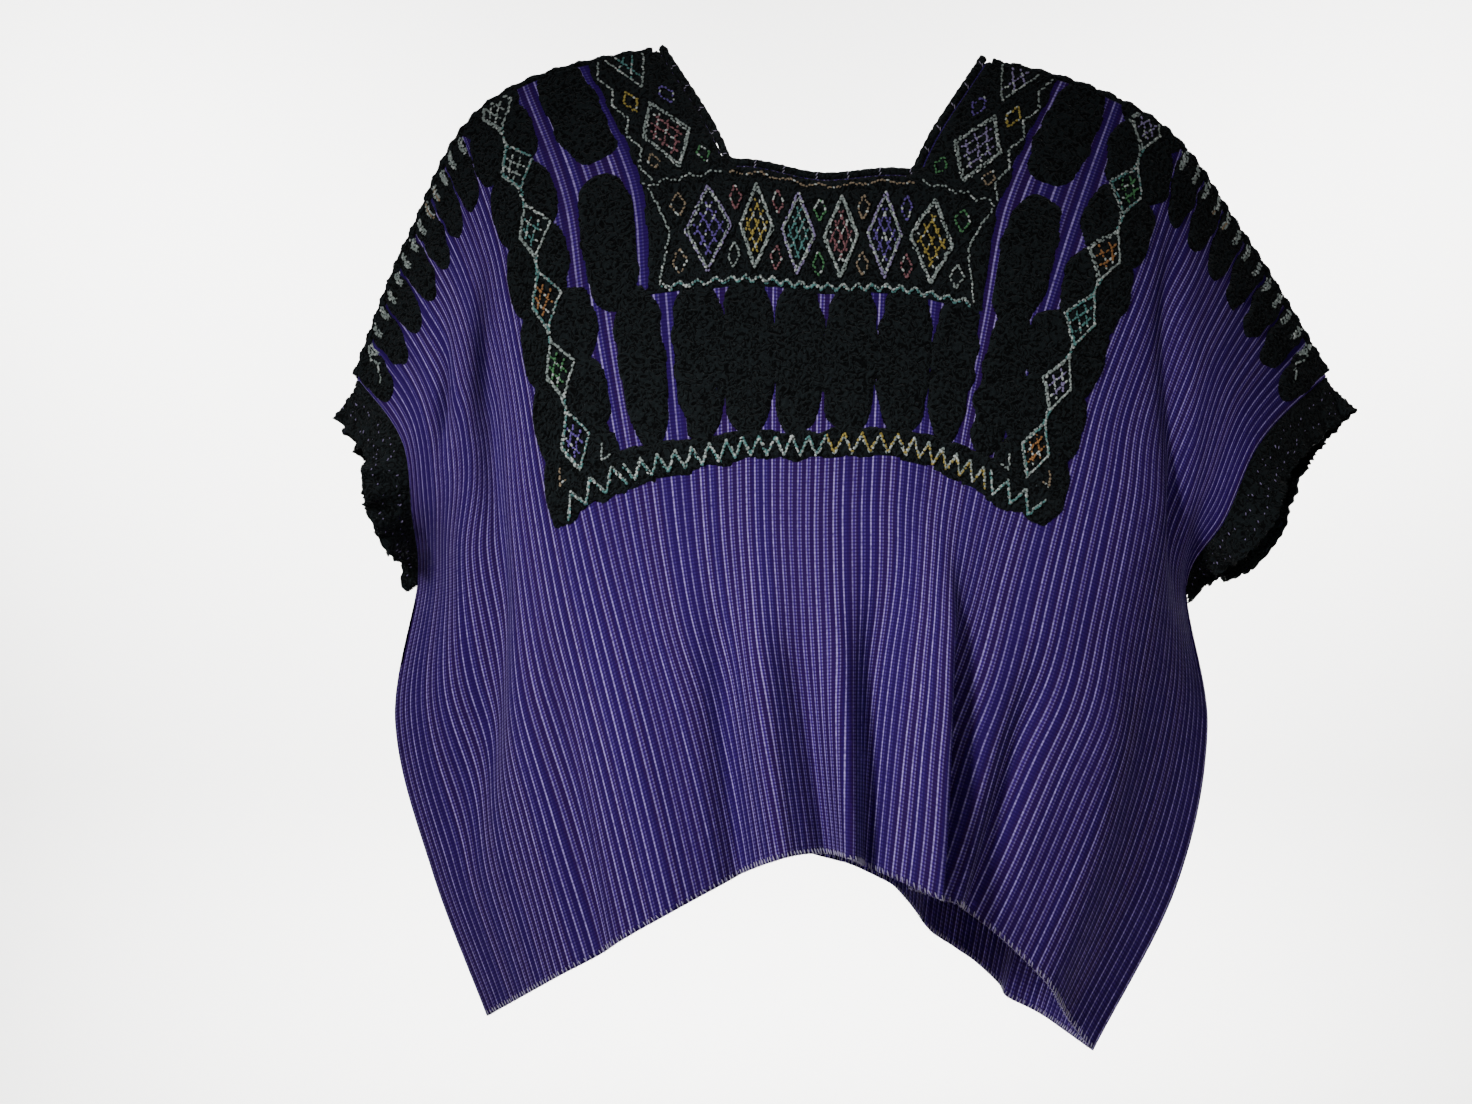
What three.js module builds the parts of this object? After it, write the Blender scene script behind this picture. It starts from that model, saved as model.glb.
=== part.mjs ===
// Huipil: a wide woven blouse of two panels, open at the neck, hem and sleeves, in the form it has when worn.
// Units are millimetres, +Z is up and the front faces -Y. The origin is between the shoulders.
// A panel is laid out on its flat cut: u runs across from the middle, v runs down from the shoulder line.
import * as THREE from 'three';

// Driving sizes of the cut
const HALF_WIDTH = 440;
const PANEL_LENGTH = 640;
const ARMHOLE_DROP = 300;
const NECK_HALF_WIDTH = 72;
const NECK_DROP = 120;
const BAND_WIDTH = 34;
const BAND_FOOT_SHARE = 0.35;
const BAND_TAPER = 110;

// Cloth and trim thicknesses
const HALF_WALL = 1;
const PLUSH_RISE = 2.8;
const SEAM_GAP = 0.3;
const BAND_HALF_THICKNESS = 1.6;
const BAND_LOOP_RISE = 1.4;
const BAND_START = 1.7;
const BAND_EDGE = 0.8;
const BAND_DROOP = 0.55;
const BINDING_RADIUS = 3.2;
const BINDING_GAP = 0.7;
const BINDING_SIDES = 6;
const BINDING_STOPS_DOWN = 10;
const BINDING_STOPS_ACROSS = 14;
const BINDING_INSET = 1.6 * BINDING_RADIUS;
const BINDING_REACH = 3;
const SHOULDER_STRIP_HALF = 7;
const SHOULDER_STRIP_RISE = 2.2;
const SHOULDER_RIB_RISE = 2;
const SHOULDER_CREST_SHARE = 0.55;
const NECK_END_SHARE = 0.4;

// Embroidered zones, on the flat cut
const YOKE_HALF_WIDTH = 216;
const YOKE_DROP = 340;
const YOKE_MARGIN = 6;
const NECK_BAND_HALF_WIDTH = 118;
const NECK_BAND_DROP = 192;
const FOOT_BAND_TOP = 316;
const CHAIN_BAND_START = 162;
const CHAIN_BAND_TOP = 14;
const SIDE_OVALS = { start: 124, end: 158, pitch: 110, halfHeight: 48, lead: 7 };
const OVAL_GAP_SHARE = 0.15;
const OVAL_END_MARGIN = 4;
const SLEEVE_GAP_SHARE = 0.25;
const OVAL_PITCH = 41;
const OVAL_SHIFT = 6;
const OVAL_ROW_HALF_WIDTH = 154;
const OVAL_TOP = 212;
const OVAL_FOOT = 312;
const SLEEVE_OVAL_PITCH = 31;
const SLEEVE_OVAL_DROP = 80;
const SLEEVE_OVAL_END = 424;

// Grid steps of a panel
const YOKE_STEP = 12;
const SLEEVE_STEP = SLEEVE_OVAL_PITCH / 2;
const YOKE_ROWS = 17;
const BODY_ROWS = 7;
const SHOULDER_EDGE = SHOULDER_STRIP_HALF + SEAM_GAP;
const ARC_STEPS = 220;

// Colours
const VIOLET = 0x33218a;
const BLACK = 0x0b0e0d;
const CLOTH_ROUGHNESS = 0.9;
const PLUSH_ROUGHNESS = 0.97;

// The lines of the cut that the sections pass through, from the left seam to the right one
const LINES = ['leftSeam', 'leftArm', 'leftChain', 'leftNeck', 'middle', 'rightNeck', 'rightChain', 'rightArm',
  'rightSeam'];
const LINE_U = [-HALF_WIDTH, -310, -185, -NECK_HALF_WIDTH, 0, NECK_HALF_WIDTH, 185, 310, HALF_WIDTH];
// Between these lines the cloth keeps its cut width along each section
const HELD_LINES = [0, 2, 3, 4, 5, 6, 8];

// One row for each section of the front: v on the cut, then the place of each line as [x, y, z]
const FRONT_SECTIONS = [
  { v: 0, leftSeam: [-345, -38, -250], leftArm: [-304, -24, -142], leftChain: [-248, -5, -40],
    leftNeck: [-125, 0, 0], middle: [0, 0, -4], rightNeck: [126, 0, -8], rightChain: [247, 5, -50],
    rightArm: [317, 22, -135], rightSeam: [386, 25, -244] },
  { v: 120, leftSeam: [-305, -88, -300], leftArm: [-268, -92, -222], leftChain: [-217, -62, -135],
    leftNeck: [-73, -58, -99], middle: [-3, -62, -109], rightNeck: [69, -58, -107], rightChain: [211, -60, -153],
    rightArm: [271, -58, -209], rightSeam: [319, -60, -299] },
  { v: 210, leftSeam: [-300, -72, -353], leftArm: [-257, -100, -309], leftChain: [-200, -90, -219],
    leftNeck: [-71, -90, -191], middle: [-6, -92, -196], rightNeck: [62, -90, -199], rightChain: [178, -90, -231],
    rightArm: [256, -82, -285], rightSeam: [292, -62, -357] },
  { v: 300, leftSeam: [-303, 0, -404], leftArm: [-244, -98, -380], leftChain: [-179, -108, -305],
    leftNeck: [-70, -110, -282], middle: [-9, -112, -281], rightNeck: [57, -110, -280],
    rightChain: [147, -108, -311], rightArm: [240, -90, -357], rightSeam: [273, 0, -407] },
  { v: 400, leftSeam: [-320, 0, -506], leftArm: [-226, -100, -463], leftChain: [-156, -118, -400],
    leftNeck: [-67, -122, -377], middle: [-11, -124, -375], rightNeck: [50, -122, -375],
    rightChain: [119, -118, -400], rightArm: [206, -98, -440], rightSeam: [289, 0, -511] },
  { v: 520, leftSeam: [-292, 0, -620], leftArm: [-200, -105, -567], leftChain: [-125, -125, -513],
    leftNeck: [-53, -130, -486], middle: [-5, -132, -485], rightNeck: [39, -130, -485],
    rightChain: [93, -125, -510], rightArm: [160, -102, -543], rightSeam: [266, 0, -630] },
  { v: 640, leftSeam: [-251, 0, -728], leftArm: [-174, -108, -673], leftChain: [-97, -130, -627],
    leftNeck: [-34, -136, -596], middle: [4, -138, -593], rightNeck: [30, -138, -602],
    rightChain: [69, -132, -621], rightArm: [117, -105, -647], rightSeam: [203, 0, -754] },
];

// The back's sections. It shares the shoulder line and, below the armholes, the side seams with the front
const BACK_SECTIONS = [
  { ...FRONT_SECTIONS[0] },
  { v: 120, leftSeam: [-332, 52, -305], leftArm: [-318, 62, -225], leftChain: [-232, 72, -135],
    leftNeck: [-72, 60, -104], middle: [-2, 64, -112], rightNeck: [70, 60, -110], rightChain: [226, 72, -148],
    rightArm: [316, 78, -214], rightSeam: [350, 62, -296] },
  { v: 210, leftSeam: [-311, 52, -356], leftArm: [-290, 100, -305], leftChain: [-205, 100, -222],
    leftNeck: [-68, 96, -196], middle: [-4, 98, -199], rightNeck: [60, 96, -201], rightChain: [190, 100, -236],
    rightArm: [276, 104, -300], rightSeam: [320, 71, -368] },
  { v: 300, leftSeam: [-303, 0, -404], leftArm: [-252, 104, -384], leftChain: [-180, 114, -312],
    leftNeck: [-68, 118, -287], middle: [-4, 119, -286], rightNeck: [62, 118, -288],
    rightChain: [160, 114, -320], rightArm: [240, 104, -378], rightSeam: [273, 0, -407] },
  { v: 400, leftSeam: [-320, 0, -506], leftArm: [-230, 110, -470], leftChain: [-156, 122, -408],
    leftNeck: [-62, 126, -386], middle: [-2, 127, -386], rightNeck: [60, 126, -389],
    rightChain: [136, 122, -422], rightArm: [214, 108, -470], rightSeam: [289, 0, -511] },
  { v: 520, leftSeam: [-292, 0, -620], leftArm: [-202, 112, -582], leftChain: [-128, 126, -525],
    leftNeck: [-52, 130, -502], middle: [4, 131, -503], rightNeck: [60, 130, -510],
    rightChain: [126, 124, -545], rightArm: [190, 106, -590], rightSeam: [266, 0, -630] },
  { v: 640, leftSeam: [-251, 0, -728], leftArm: [-178, 112, -692], leftChain: [-106, 128, -642],
    leftNeck: [-40, 134, -618], middle: [10, 136, -622], rightNeck: [58, 134, -646],
    rightChain: [104, 128, -690], rightArm: [158, 108, -730], rightSeam: [203, 0, -754] },
];

// Folds: each runs on the cut from [u, v] by way of a middle point, and stands out by rise at its end.
// A negative rise is a trough. Width is its half width, and lean shifts its crest along +X.
const FRONT_FOLDS = [
  { name: 'left arm crease', from: [-232, 110], via: [-300, 300], to: [-420, 560], width: 26, rise: -20, lean: 0 },
  { name: 'left sleeve crease', from: [-300, 60], via: [-330, 120], to: [-356, 200], width: 20, rise: -11, lean: 0 },
  { name: 'left hem trough', from: [-245, 380], via: [-275, 500], to: [-300, 660], width: 24, rise: -13, lean: 0 },
  { name: 'left hem crest', from: [-205, 420], via: [-205, 540], to: [-205, 660], width: 26, rise: 10, lean: 0 },
  { name: 'middle left trough', from: [-85, 420], via: [-105, 530], to: [-128, 660], width: 22, rise: -19, lean: 0 },
  { name: 'middle left crest', from: [-50, 400], via: [-60, 520], to: [-68, 660], width: 20, rise: 15, lean: 0 },
  { name: 'middle trough', from: [-25, 440], via: [-15, 540], to: [-8, 660], width: 18, rise: -16, lean: 0 },
  { name: 'middle crest', from: [15, 420], via: [25, 530], to: [32, 660], width: 18, rise: 14, lean: 0 },
  { name: 'middle right trough', from: [50, 390], via: [62, 520], to: [72, 660], width: 20, rise: -20, lean: 0 },
  { name: 'great crest', from: [96, 360], via: [120, 500], to: [138, 670], width: 30, rise: 26, lean: 26 },
  { name: 'great trough', from: [150, 420], via: [180, 540], to: [204, 670], width: 24, rise: -24, lean: -8 },
  { name: 'right hem trough', from: [248, 420], via: [272, 520], to: [300, 670], width: 24, rise: -18, lean: 0 },
  { name: 'right hem crest', from: [300, 390], via: [350, 500], to: [372, 670], width: 26, rise: 14, lean: 0 },
  { name: 'right arm crease', from: [240, 40], via: [292, 190], to: [400, 350], width: 20, rise: -15, lean: 0 },
];
const BACK_FOLDS = [
  { name: 'left arm crease', from: [-240, 90], via: [-310, 250], to: [-400, 420], width: 24, rise: -16, lean: 0 },
  { name: 'left hem trough', from: [-290, 360], via: [-300, 500], to: [-310, 660], width: 28, rise: -14, lean: 0 },
  { name: 'left hem crest', from: [-220, 380], via: [-225, 520], to: [-225, 660], width: 26, rise: 12, lean: 0 },
  { name: 'middle left trough', from: [-130, 340], via: [-140, 500], to: [-145, 660], width: 26, rise: -18, lean: 0 },
  { name: 'middle left crest', from: [-70, 400], via: [-72, 520], to: [-72, 660], width: 24, rise: 13, lean: 0 },
  { name: 'middle trough', from: [5, 360], via: [0, 500], to: [-5, 660], width: 24, rise: -16, lean: 0 },
  { name: 'middle crest', from: [70, 400], via: [74, 520], to: [78, 660], width: 24, rise: 15, lean: 0 },
  { name: 'middle right trough', from: [140, 330], via: [146, 500], to: [150, 660], width: 26, rise: -19, lean: 0 },
  { name: 'right hem crest', from: [215, 390], via: [224, 520], to: [230, 660], width: 26, rise: 14, lean: 0 },
  { name: 'right hem trough', from: [280, 350], via: [300, 500], to: [314, 660], width: 28, rise: -15, lean: 0 },
  { name: 'right arm crease', from: [250, 60], via: [310, 230], to: [405, 400], width: 24, rise: -16, lean: 0 },
];
const FOLD_LEAD = 110;
const FOLD_SEGMENTS = 10;
const SEAM_FADE = 50;

// Smooth curve through values given at uneven stations
function throughStations(stations, values, t) {
  let i = 0;
  while (i < stations.length - 2 && t > stations[i + 1]) i += 1;
  const slope = (k) => {
    const a = Math.max(0, k - 1);
    const b = Math.min(stations.length - 1, k + 1);
    return (values[b] - values[a]) / (stations[b] - stations[a]);
  };
  const span = stations[i + 1] - stations[i];
  const s = (t - stations[i]) / span;
  const s2 = s * s;
  const s3 = s2 * s;
  return (2 * s3 - 3 * s2 + 1) * values[i] + (s3 - 2 * s2 + s) * span * slope(i)
    + (-2 * s3 + 3 * s2) * values[i + 1] + (s3 - s2) * span * slope(i + 1);
}

const smooth = (edge0, edge1, t) => {
  const s = Math.min(1, Math.max(0, (t - edge0) / (edge1 - edge0)));
  return s * s * (3 - 2 * s);
};

// A panel's middle surface: side is -1 for the front and 1 for the back
class Drape {
  constructor(side, sections, folds) {
    this.side = side;
    this.sections = sections;
    this.levels = sections.map((row) => row.v);
    this.folds = folds.map((fold) => ({ ...fold, path: foldPath(fold), length: fold.to[1] - fold.from[1] }));
    this.spreads = new Map();
  }

  // The form without folds, at t across the lines and v down the cut
  form(t, v) {
    return [0, 1, 2].map((axis) => {
      const lineAt = (line) => throughStations(this.levels, this.sections.map((row) => row[line][axis]), v);
      return throughStations(LINE_U, LINES.map(lineAt), t);
    });
  }

  // How far the folds stand out at a place, and how far they lean
  foldAt(t, v) {
    let rise = 0;
    let lean = 0;
    for (const fold of this.folds) {
      const { distance, along } = nearestOnPath(fold.path, t, v);
      if (distance > 3 * fold.width) continue;
      const crest = Math.exp(-((distance / fold.width) ** 2));
      const growth = smooth(0, 1, along) * 0.45 + smooth(0, FOLD_LEAD, along * fold.length) * 0.55;
      const end = fold.to[1] > PANEL_LENGTH ? 1 : smooth(0, 0.25, 1 - along);
      rise += fold.rise * crest * growth * end;
      lean += fold.lean * crest * growth * end;
    }
    const seamFade = smooth(0, SEAM_FADE, HALF_WIDTH - Math.abs(t));
    const seam = v < ARMHOLE_DROP - SEAM_FADE ? 1 : seamFade;
    return { rise: rise * seam, lean: lean * seam };
  }

  folded(t, v) {
    const step = 2;
    const here = new THREE.Vector3(...this.form(t, v));
    const { rise, lean } = this.foldAt(t, v);
    if (rise === 0 && lean === 0) return here;
    const acrossV = new THREE.Vector3(...this.form(t + step, v)).sub(new THREE.Vector3(...this.form(t - step, v)));
    const downV = new THREE.Vector3(...this.form(t, v + step)).sub(new THREE.Vector3(...this.form(t, v - step)));
    const normal = acrossV.clone().cross(downV).normalize().multiplyScalar(this.side);
    return here.addScaledVector(normal, rise).addScaledVector(acrossV.normalize(), lean);
  }

  // Where u falls among the lines, so that the cloth keeps its width between the held lines
  spread(v) {
    const key = v.toFixed(3);
    if (this.spreads.has(key)) return this.spreads.get(key);
    const ts = [];
    const arcs = [];
    let before = null;
    for (let k = 0; k <= ARC_STEPS; k += 1) {
      const t = -HALF_WIDTH + (2 * HALF_WIDTH * k) / ARC_STEPS;
      const point = this.folded(t, v);
      ts.push(t);
      arcs.push(before ? arcs[k - 1] + point.distanceTo(before) : 0);
      before = point;
    }
    const heldArcs = HELD_LINES.map((line) => valueAt(ts, arcs, LINE_U[line]));
    const result = { ts, arcs, heldArcs };
    this.spreads.set(key, result);
    return result;
  }

  at(u, v) {
    const { ts, arcs, heldArcs } = this.spread(v);
    const heldU = HELD_LINES.map((line) => LINE_U[line]);
    const inside = Math.min(HALF_WIDTH, Math.max(-HALF_WIDTH, u));
    return this.folded(valueAt(arcs, ts, valueAt(heldU, heldArcs, inside)), v);
  }
}

// Straight-line reading of a rising table
function valueAt(keys, values, key) {
  let low = 0;
  let high = keys.length - 1;
  while (high - low > 1) {
    const middle = (low + high) >> 1;
    if (keys[middle] <= key) low = middle;
    else high = middle;
  }
  const share = (key - keys[low]) / (keys[high] - keys[low]);
  return values[low] + (values[high] - values[low]) * share;
}

// Points of the curve that passes through a fold's start, middle and end
function foldPath({ from, via, to }) {
  const path = [];
  for (let k = 0; k <= FOLD_SEGMENTS; k += 1) {
    const t = k / FOLD_SEGMENTS;
    const weights = [(1 - t) * (1 - 2 * t), 4 * t * (1 - t), t * (2 * t - 1)];
    path.push([0, 1].map((i) => weights[0] * from[i] + weights[1] * via[i] + weights[2] * to[i]));
  }
  return path;
}

function nearestOnPath(path, u, v) {
  let best = { distance: Infinity, along: 0 };
  for (let k = 0; k < path.length - 1; k += 1) {
    const [au, av] = path[k];
    const du = path[k + 1][0] - au;
    const dv = path[k + 1][1] - av;
    const s = Math.min(1, Math.max(0, ((u - au) * du + (v - av) * dv) / (du * du + dv * dv)));
    const distance = Math.hypot(u - au - s * du, v - av - s * dv);
    if (distance < best.distance) best = { distance, along: (k + s) / (path.length - 1) };
  }
  return best;
}

// The looped embroidery's height at a place on the cut: full on a band or an oval, none on bare cloth
function plush(u, v) {
  const across = Math.abs(u);
  const inYoke = across < YOKE_HALF_WIDTH - YOKE_MARGIN && v < YOKE_DROP - YOKE_MARGIN;
  const neckBand = across < NECK_BAND_HALF_WIDTH && v < NECK_BAND_DROP;
  const footBand = inYoke && v > FOOT_BAND_TOP;
  const chainBand = inYoke && across > CHAIN_BAND_START && v > CHAIN_BAND_TOP;
  if (neckBand || footBand || chainBand) return PLUSH_RISE;
  const onOval = (across < OVAL_ROW_HALF_WIDTH && v > OVAL_TOP && v < OVAL_FOOT && onOvalRow(u, v))
    || (across > SIDE_OVALS.start && across < SIDE_OVALS.end && v < OVAL_TOP && onSideOval(v))
    || (across > YOKE_HALF_WIDTH + YOKE_MARGIN && across < SLEEVE_OVAL_END && v < SLEEVE_OVAL_DROP
      && fromWhole((across - YOKE_HALF_WIDTH) / SLEEVE_OVAL_PITCH) > SLEEVE_GAP_SHARE);
  return onOval ? PLUSH_RISE : 0;
}

const fromWhole = (phase) => Math.abs(phase - Math.round(phase));

function onOvalRow(u, v) {
  const fromEnd = Math.min(v - OVAL_TOP, OVAL_FOOT - v);
  return fromWhole((u - OVAL_SHIFT) / OVAL_PITCH) > OVAL_GAP_SHARE && fromEnd > OVAL_END_MARGIN;
}

function onSideOval(v) {
  const fromMiddle = ((v + SIDE_OVALS.lead) % SIDE_OVALS.pitch) - SIDE_OVALS.pitch / 2;
  return Math.abs(fromMiddle) < SIDE_OVALS.halfHeight;
}

// Grid lines across a panel: fine over the yoke, wider on the sleeves
function gridAcross() {
  const half = [0];
  for (let u = YOKE_STEP; u <= YOKE_HALF_WIDTH; u += YOKE_STEP) half.push(u);
  for (let u = YOKE_HALF_WIDTH + SLEEVE_STEP; u <= SLEEVE_OVAL_END; u += SLEEVE_STEP) half.push(u);
  half.push(HALF_WIDTH - SEAM_GAP);
  return [...half.slice(1).reverse().map((u) => -u), ...half];
}

function gridDown() {
  const down = [SHOULDER_EDGE];
  for (let k = 1; k <= YOKE_ROWS; k += 1) down.push((YOKE_DROP * k) / YOKE_ROWS);
  for (let k = 1; k <= BODY_ROWS; k += 1) down.push(YOKE_DROP + ((PANEL_LENGTH - YOKE_DROP) * k) / BODY_ROWS);
  return down;
}

// A closed body from points and faces
function bodyOf(points, faces, name, colour, roughness) {
  if (signedVolume(points, faces) < 0) faces.reverse();
  const geometry = new THREE.BufferGeometry();
  geometry.setAttribute('position', new THREE.Float32BufferAttribute(points.flatMap((p) => [p.x, p.y, p.z]), 3));
  geometry.setIndex(faces);
  geometry.computeVertexNormals();
  const material = new THREE.MeshStandardMaterial({ color: colour, roughness, metalness: 0 });
  const mesh = new THREE.Mesh(geometry, material);
  mesh.name = name;
  return mesh;
}

// Six times the volume that a list of faces encloses: below zero when the faces point inward
function signedVolume(points, faces) {
  let sum = 0;
  for (let k = 0; k < faces.length; k += 3) {
    sum += points[faces[k]].dot(points[faces[k + 1]].clone().cross(points[faces[k + 2]]));
  }
  return sum;
}

// The outer and inner points of a panel's wall, column by column
function wallGrid(drape) {
  const us = gridAcross();
  const vs = gridDown();
  const middle = us.map((u) => vs.map((v) => drape.at(u, v)));
  const seamPlane = (SEAM_GAP / 2) * drape.side;
  const outer = [];
  const inner = [];
  us.forEach((u, i) => {
    outer.push([]);
    inner.push([]);
    vs.forEach((v, j) => {
      const across = middle[Math.min(i + 1, us.length - 1)][j].clone().sub(middle[Math.max(i - 1, 0)][j]);
      const down = middle[i][Math.min(j + 1, vs.length - 1)].clone().sub(middle[i][Math.max(j - 1, 0)]);
      const normal = across.cross(down).normalize().multiplyScalar(drape.side);
      const outside = middle[i][j].clone().addScaledVector(normal, HALF_WALL + plush(u, v));
      const inside = middle[i][j].clone().addScaledVector(normal, -HALF_WALL);
      if (v >= ARMHOLE_DROP - 2) {
        [outside, inside].forEach((point) => {
          if (point.y * drape.side < Math.abs(seamPlane)) point.y = seamPlane;
        });
      }
      outer[i].push(outside);
      inner[i].push(inside);
    });
  });
  return { us, vs, outer, inner };
}

// A panel: its two grids with a rim round every edge, and the neck left out
function panelWall(grid, side, name) {
  const { us, vs, outer, inner } = grid;
  const inNeck = (i, j) => Math.abs(us[i] + us[i + 1]) / 2 < NECK_HALF_WIDTH && vs[j + 1] <= NECK_DROP;
  return closeWall(outer.flat(), inner.flat(), us.length, vs.length, inNeck, side, name);
}

function closeWall(outer, inner, columns, rows, leftOut, side, name) {
  const indexOf = (i, j) => i * rows + j;
  const shift = outer.length;
  const faces = [];
  const edges = new Map();
  const add = (a, b, c) => (side > 0 ? faces.push(a, b, c) : faces.push(a, c, b));
  for (let i = 0; i < columns - 1; i += 1) {
    for (let j = 0; j < rows - 1; j += 1) {
      if (leftOut(i, j)) continue;
      const corners = [indexOf(i, j), indexOf(i + 1, j), indexOf(i + 1, j + 1), indexOf(i, j + 1)];
      const [a, b, c, d] = corners;
      add(a, b, c);
      add(a, c, d);
      add(a + shift, c + shift, b + shift);
      add(a + shift, d + shift, c + shift);
      corners.forEach((corner, k) => {
        const next = corners[(k + 1) % corners.length];
        const back = `${next},${corner}`;
        if (edges.has(back)) edges.delete(back);
        else edges.set(`${corner},${next}`, [corner, next]);
      });
    }
  }
  edges.forEach(([a, b]) => {
    add(a, a + shift, b);
    add(b, a + shift, b + shift);
  });
  const used = [...new Set(faces)].sort((p, q) => p - q);
  const renumber = new Map(used.map((old, k) => [old, k]));
  const all = [...outer, ...inner];
  return bodyOf(used.map((old) => all[old]), faces.map((old) => renumber.get(old)), name, VIOLET, CLOTH_ROUGHNESS);
}

// A strip or ring of equal sections: each section is a loop of points, and open ends are closed flat
function sweep(sections, closed, name) {
  const count = sections[0].length;
  const points = sections.flat();
  const faces = [];
  const rings = closed ? sections.length : sections.length - 1;
  for (let i = 0; i < rings; i += 1) {
    const next = ((i + 1) % sections.length) * count;
    for (let k = 0; k < count; k += 1) {
      const a = i * count + k;
      const b = i * count + ((k + 1) % count);
      const c = next + ((k + 1) % count);
      const d = next + k;
      faces.push(a, b, c, a, c, d);
    }
  }
  if (!closed) {
    const last = (sections.length - 1) * count;
    for (let k = 1; k < count - 1; k += 1) {
      faces.push(0, k + 1, k);
      faces.push(last, last + k, last + k + 1);
    }
  }
  return bodyOf(points, faces, name, BLACK, PLUSH_ROUGHNESS);
}

// The ribbed black join along one shoulder and sleeve, from the neck to the band
function shoulderStrip(front, back, sign, name) {
  const columns = front.us.map((u, i) => i)
    .filter((i) => sign * front.us[i] >= NECK_HALF_WIDTH)
    .sort((p, q) => Math.abs(front.us[p]) - Math.abs(front.us[q]));
  const edge = (i, height) => {
    const corners = [front.inner[i][0], front.outer[i][0], back.outer[i][0], back.inner[i][0]];
    const middle = corners.reduce((sum, point) => sum.add(point), new THREE.Vector3()).divideScalar(corners.length);
    const [frontIn, frontOut, backOut, backIn] = corners.map((point) => {
      const inward = middle.clone().sub(point);
      return point.clone().addScaledVector(inward.normalize(), SEAM_GAP + HALF_WALL / 2);
    });
    const up = frontOut.clone().sub(frontIn).add(backOut).sub(backIn).normalize();
    const forward = frontOut.clone().sub(backOut).multiplyScalar(SHOULDER_CREST_SHARE);
    const crest = middle.clone().addScaledVector(up, HALF_WALL + height);
    return [frontIn, frontOut, crest.clone().addScaledVector(forward, 0.5), crest.clone()
      .addScaledVector(forward, -0.5), backOut, backIn];
  };
  const sections = [];
  columns.forEach((i, k) => {
    const low = edge(i, SHOULDER_STRIP_RISE);
    if (k > 0) {
      const before = edge(columns[k - 1], SHOULDER_STRIP_RISE + SHOULDER_RIB_RISE);
      const after = edge(i, SHOULDER_STRIP_RISE + SHOULDER_RIB_RISE);
      sections.push(before.map((point, n) => point.clone().add(after[n]).multiplyScalar(0.5)));
    }
    sections.push(low);
  });
  sections[0] = sections[0].map((point, n) => point.clone().lerp(sections[1][n], NECK_END_SHARE));
  return sweep(sections, false, name);
}

const DOWN = new THREE.Vector3(0, 0, -1);

// The black band round one armhole, narrower toward the underarm: down the front edge, then up the back
function sleeveBand(front, back, sign, name) {
  const column = sign > 0 ? front.us.length - 1 : 0;
  const underarm = front.vs.findIndex((v) => v >= ARMHOLE_DROP);
  const take = (grid, j) => {
    const outside = grid.outer[column][j];
    const inside = grid.inner[column][j];
    const edge = outside.clone().add(inside).multiplyScalar(0.5);
    const before = grid.outer[column - sign][j].clone().add(grid.inner[column - sign][j]).multiplyScalar(0.5);
    return { outside, inside, edge, outward: edge.clone().sub(before).normalize(), v: grid.vs[j] };
  };
  const blend = (a, b) => ({
    outside: a.outside.clone().add(b.outside).multiplyScalar(0.5),
    inside: a.inside.clone().add(b.inside).multiplyScalar(0.5),
    edge: a.edge.clone().add(b.edge).multiplyScalar(0.5),
    outward: a.outward.clone().add(b.outward).normalize(),
    v: a.v,
  });
  const ring = [];
  for (let j = 0; j < underarm; j += 1) ring.push(take(front, j));
  ring.push(blend(take(front, underarm), take(back, underarm)));
  for (let j = underarm - 1; j >= 0; j -= 1) ring.push(take(back, j));
  const size = ring.length;
  const sections = ring.map((spot, k) => {
    const before = ring[(k + size - 1) % size];
    const after = ring[(k + 1) % size];
    const run = after.edge.clone().sub(before.edge).normalize();
    const level = before.outward.clone().add(spot.outward).add(after.outward);
    level.addScaledVector(run, -level.dot(run)).normalize();
    const out = level.clone().addScaledVector(DOWN, BAND_DROOP);
    out.addScaledVector(run, -out.dot(run)).normalize();
    const normal = spot.outside.clone().sub(spot.inside);
    normal.addScaledVector(out, -normal.dot(out)).normalize();
    const point = (along, height) => spot.edge.clone().addScaledVector(out, along).addScaledVector(normal, height);
    const loop = k % 2 === 0 ? BAND_LOOP_RISE : 0;
    const full = Math.min(1, BAND_FOOT_SHARE + ((1 - BAND_FOOT_SHARE) * (ARMHOLE_DROP - spot.v)) / BAND_TAPER);
    const width = BAND_WIDTH * full;
    const start = (height) => spot.edge.clone().addScaledVector(level, BAND_START).addScaledVector(normal, height);
    return [start(-BAND_EDGE), start(BAND_EDGE),
      point(width / 2, BAND_HALF_THICKNESS + loop), point(width, BAND_HALF_THICKNESS),
      point(width, -BAND_HALF_THICKNESS), point(width / 2, -BAND_HALF_THICKNESS)];
  });
  return sweep(sections, true, name);
}

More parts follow.
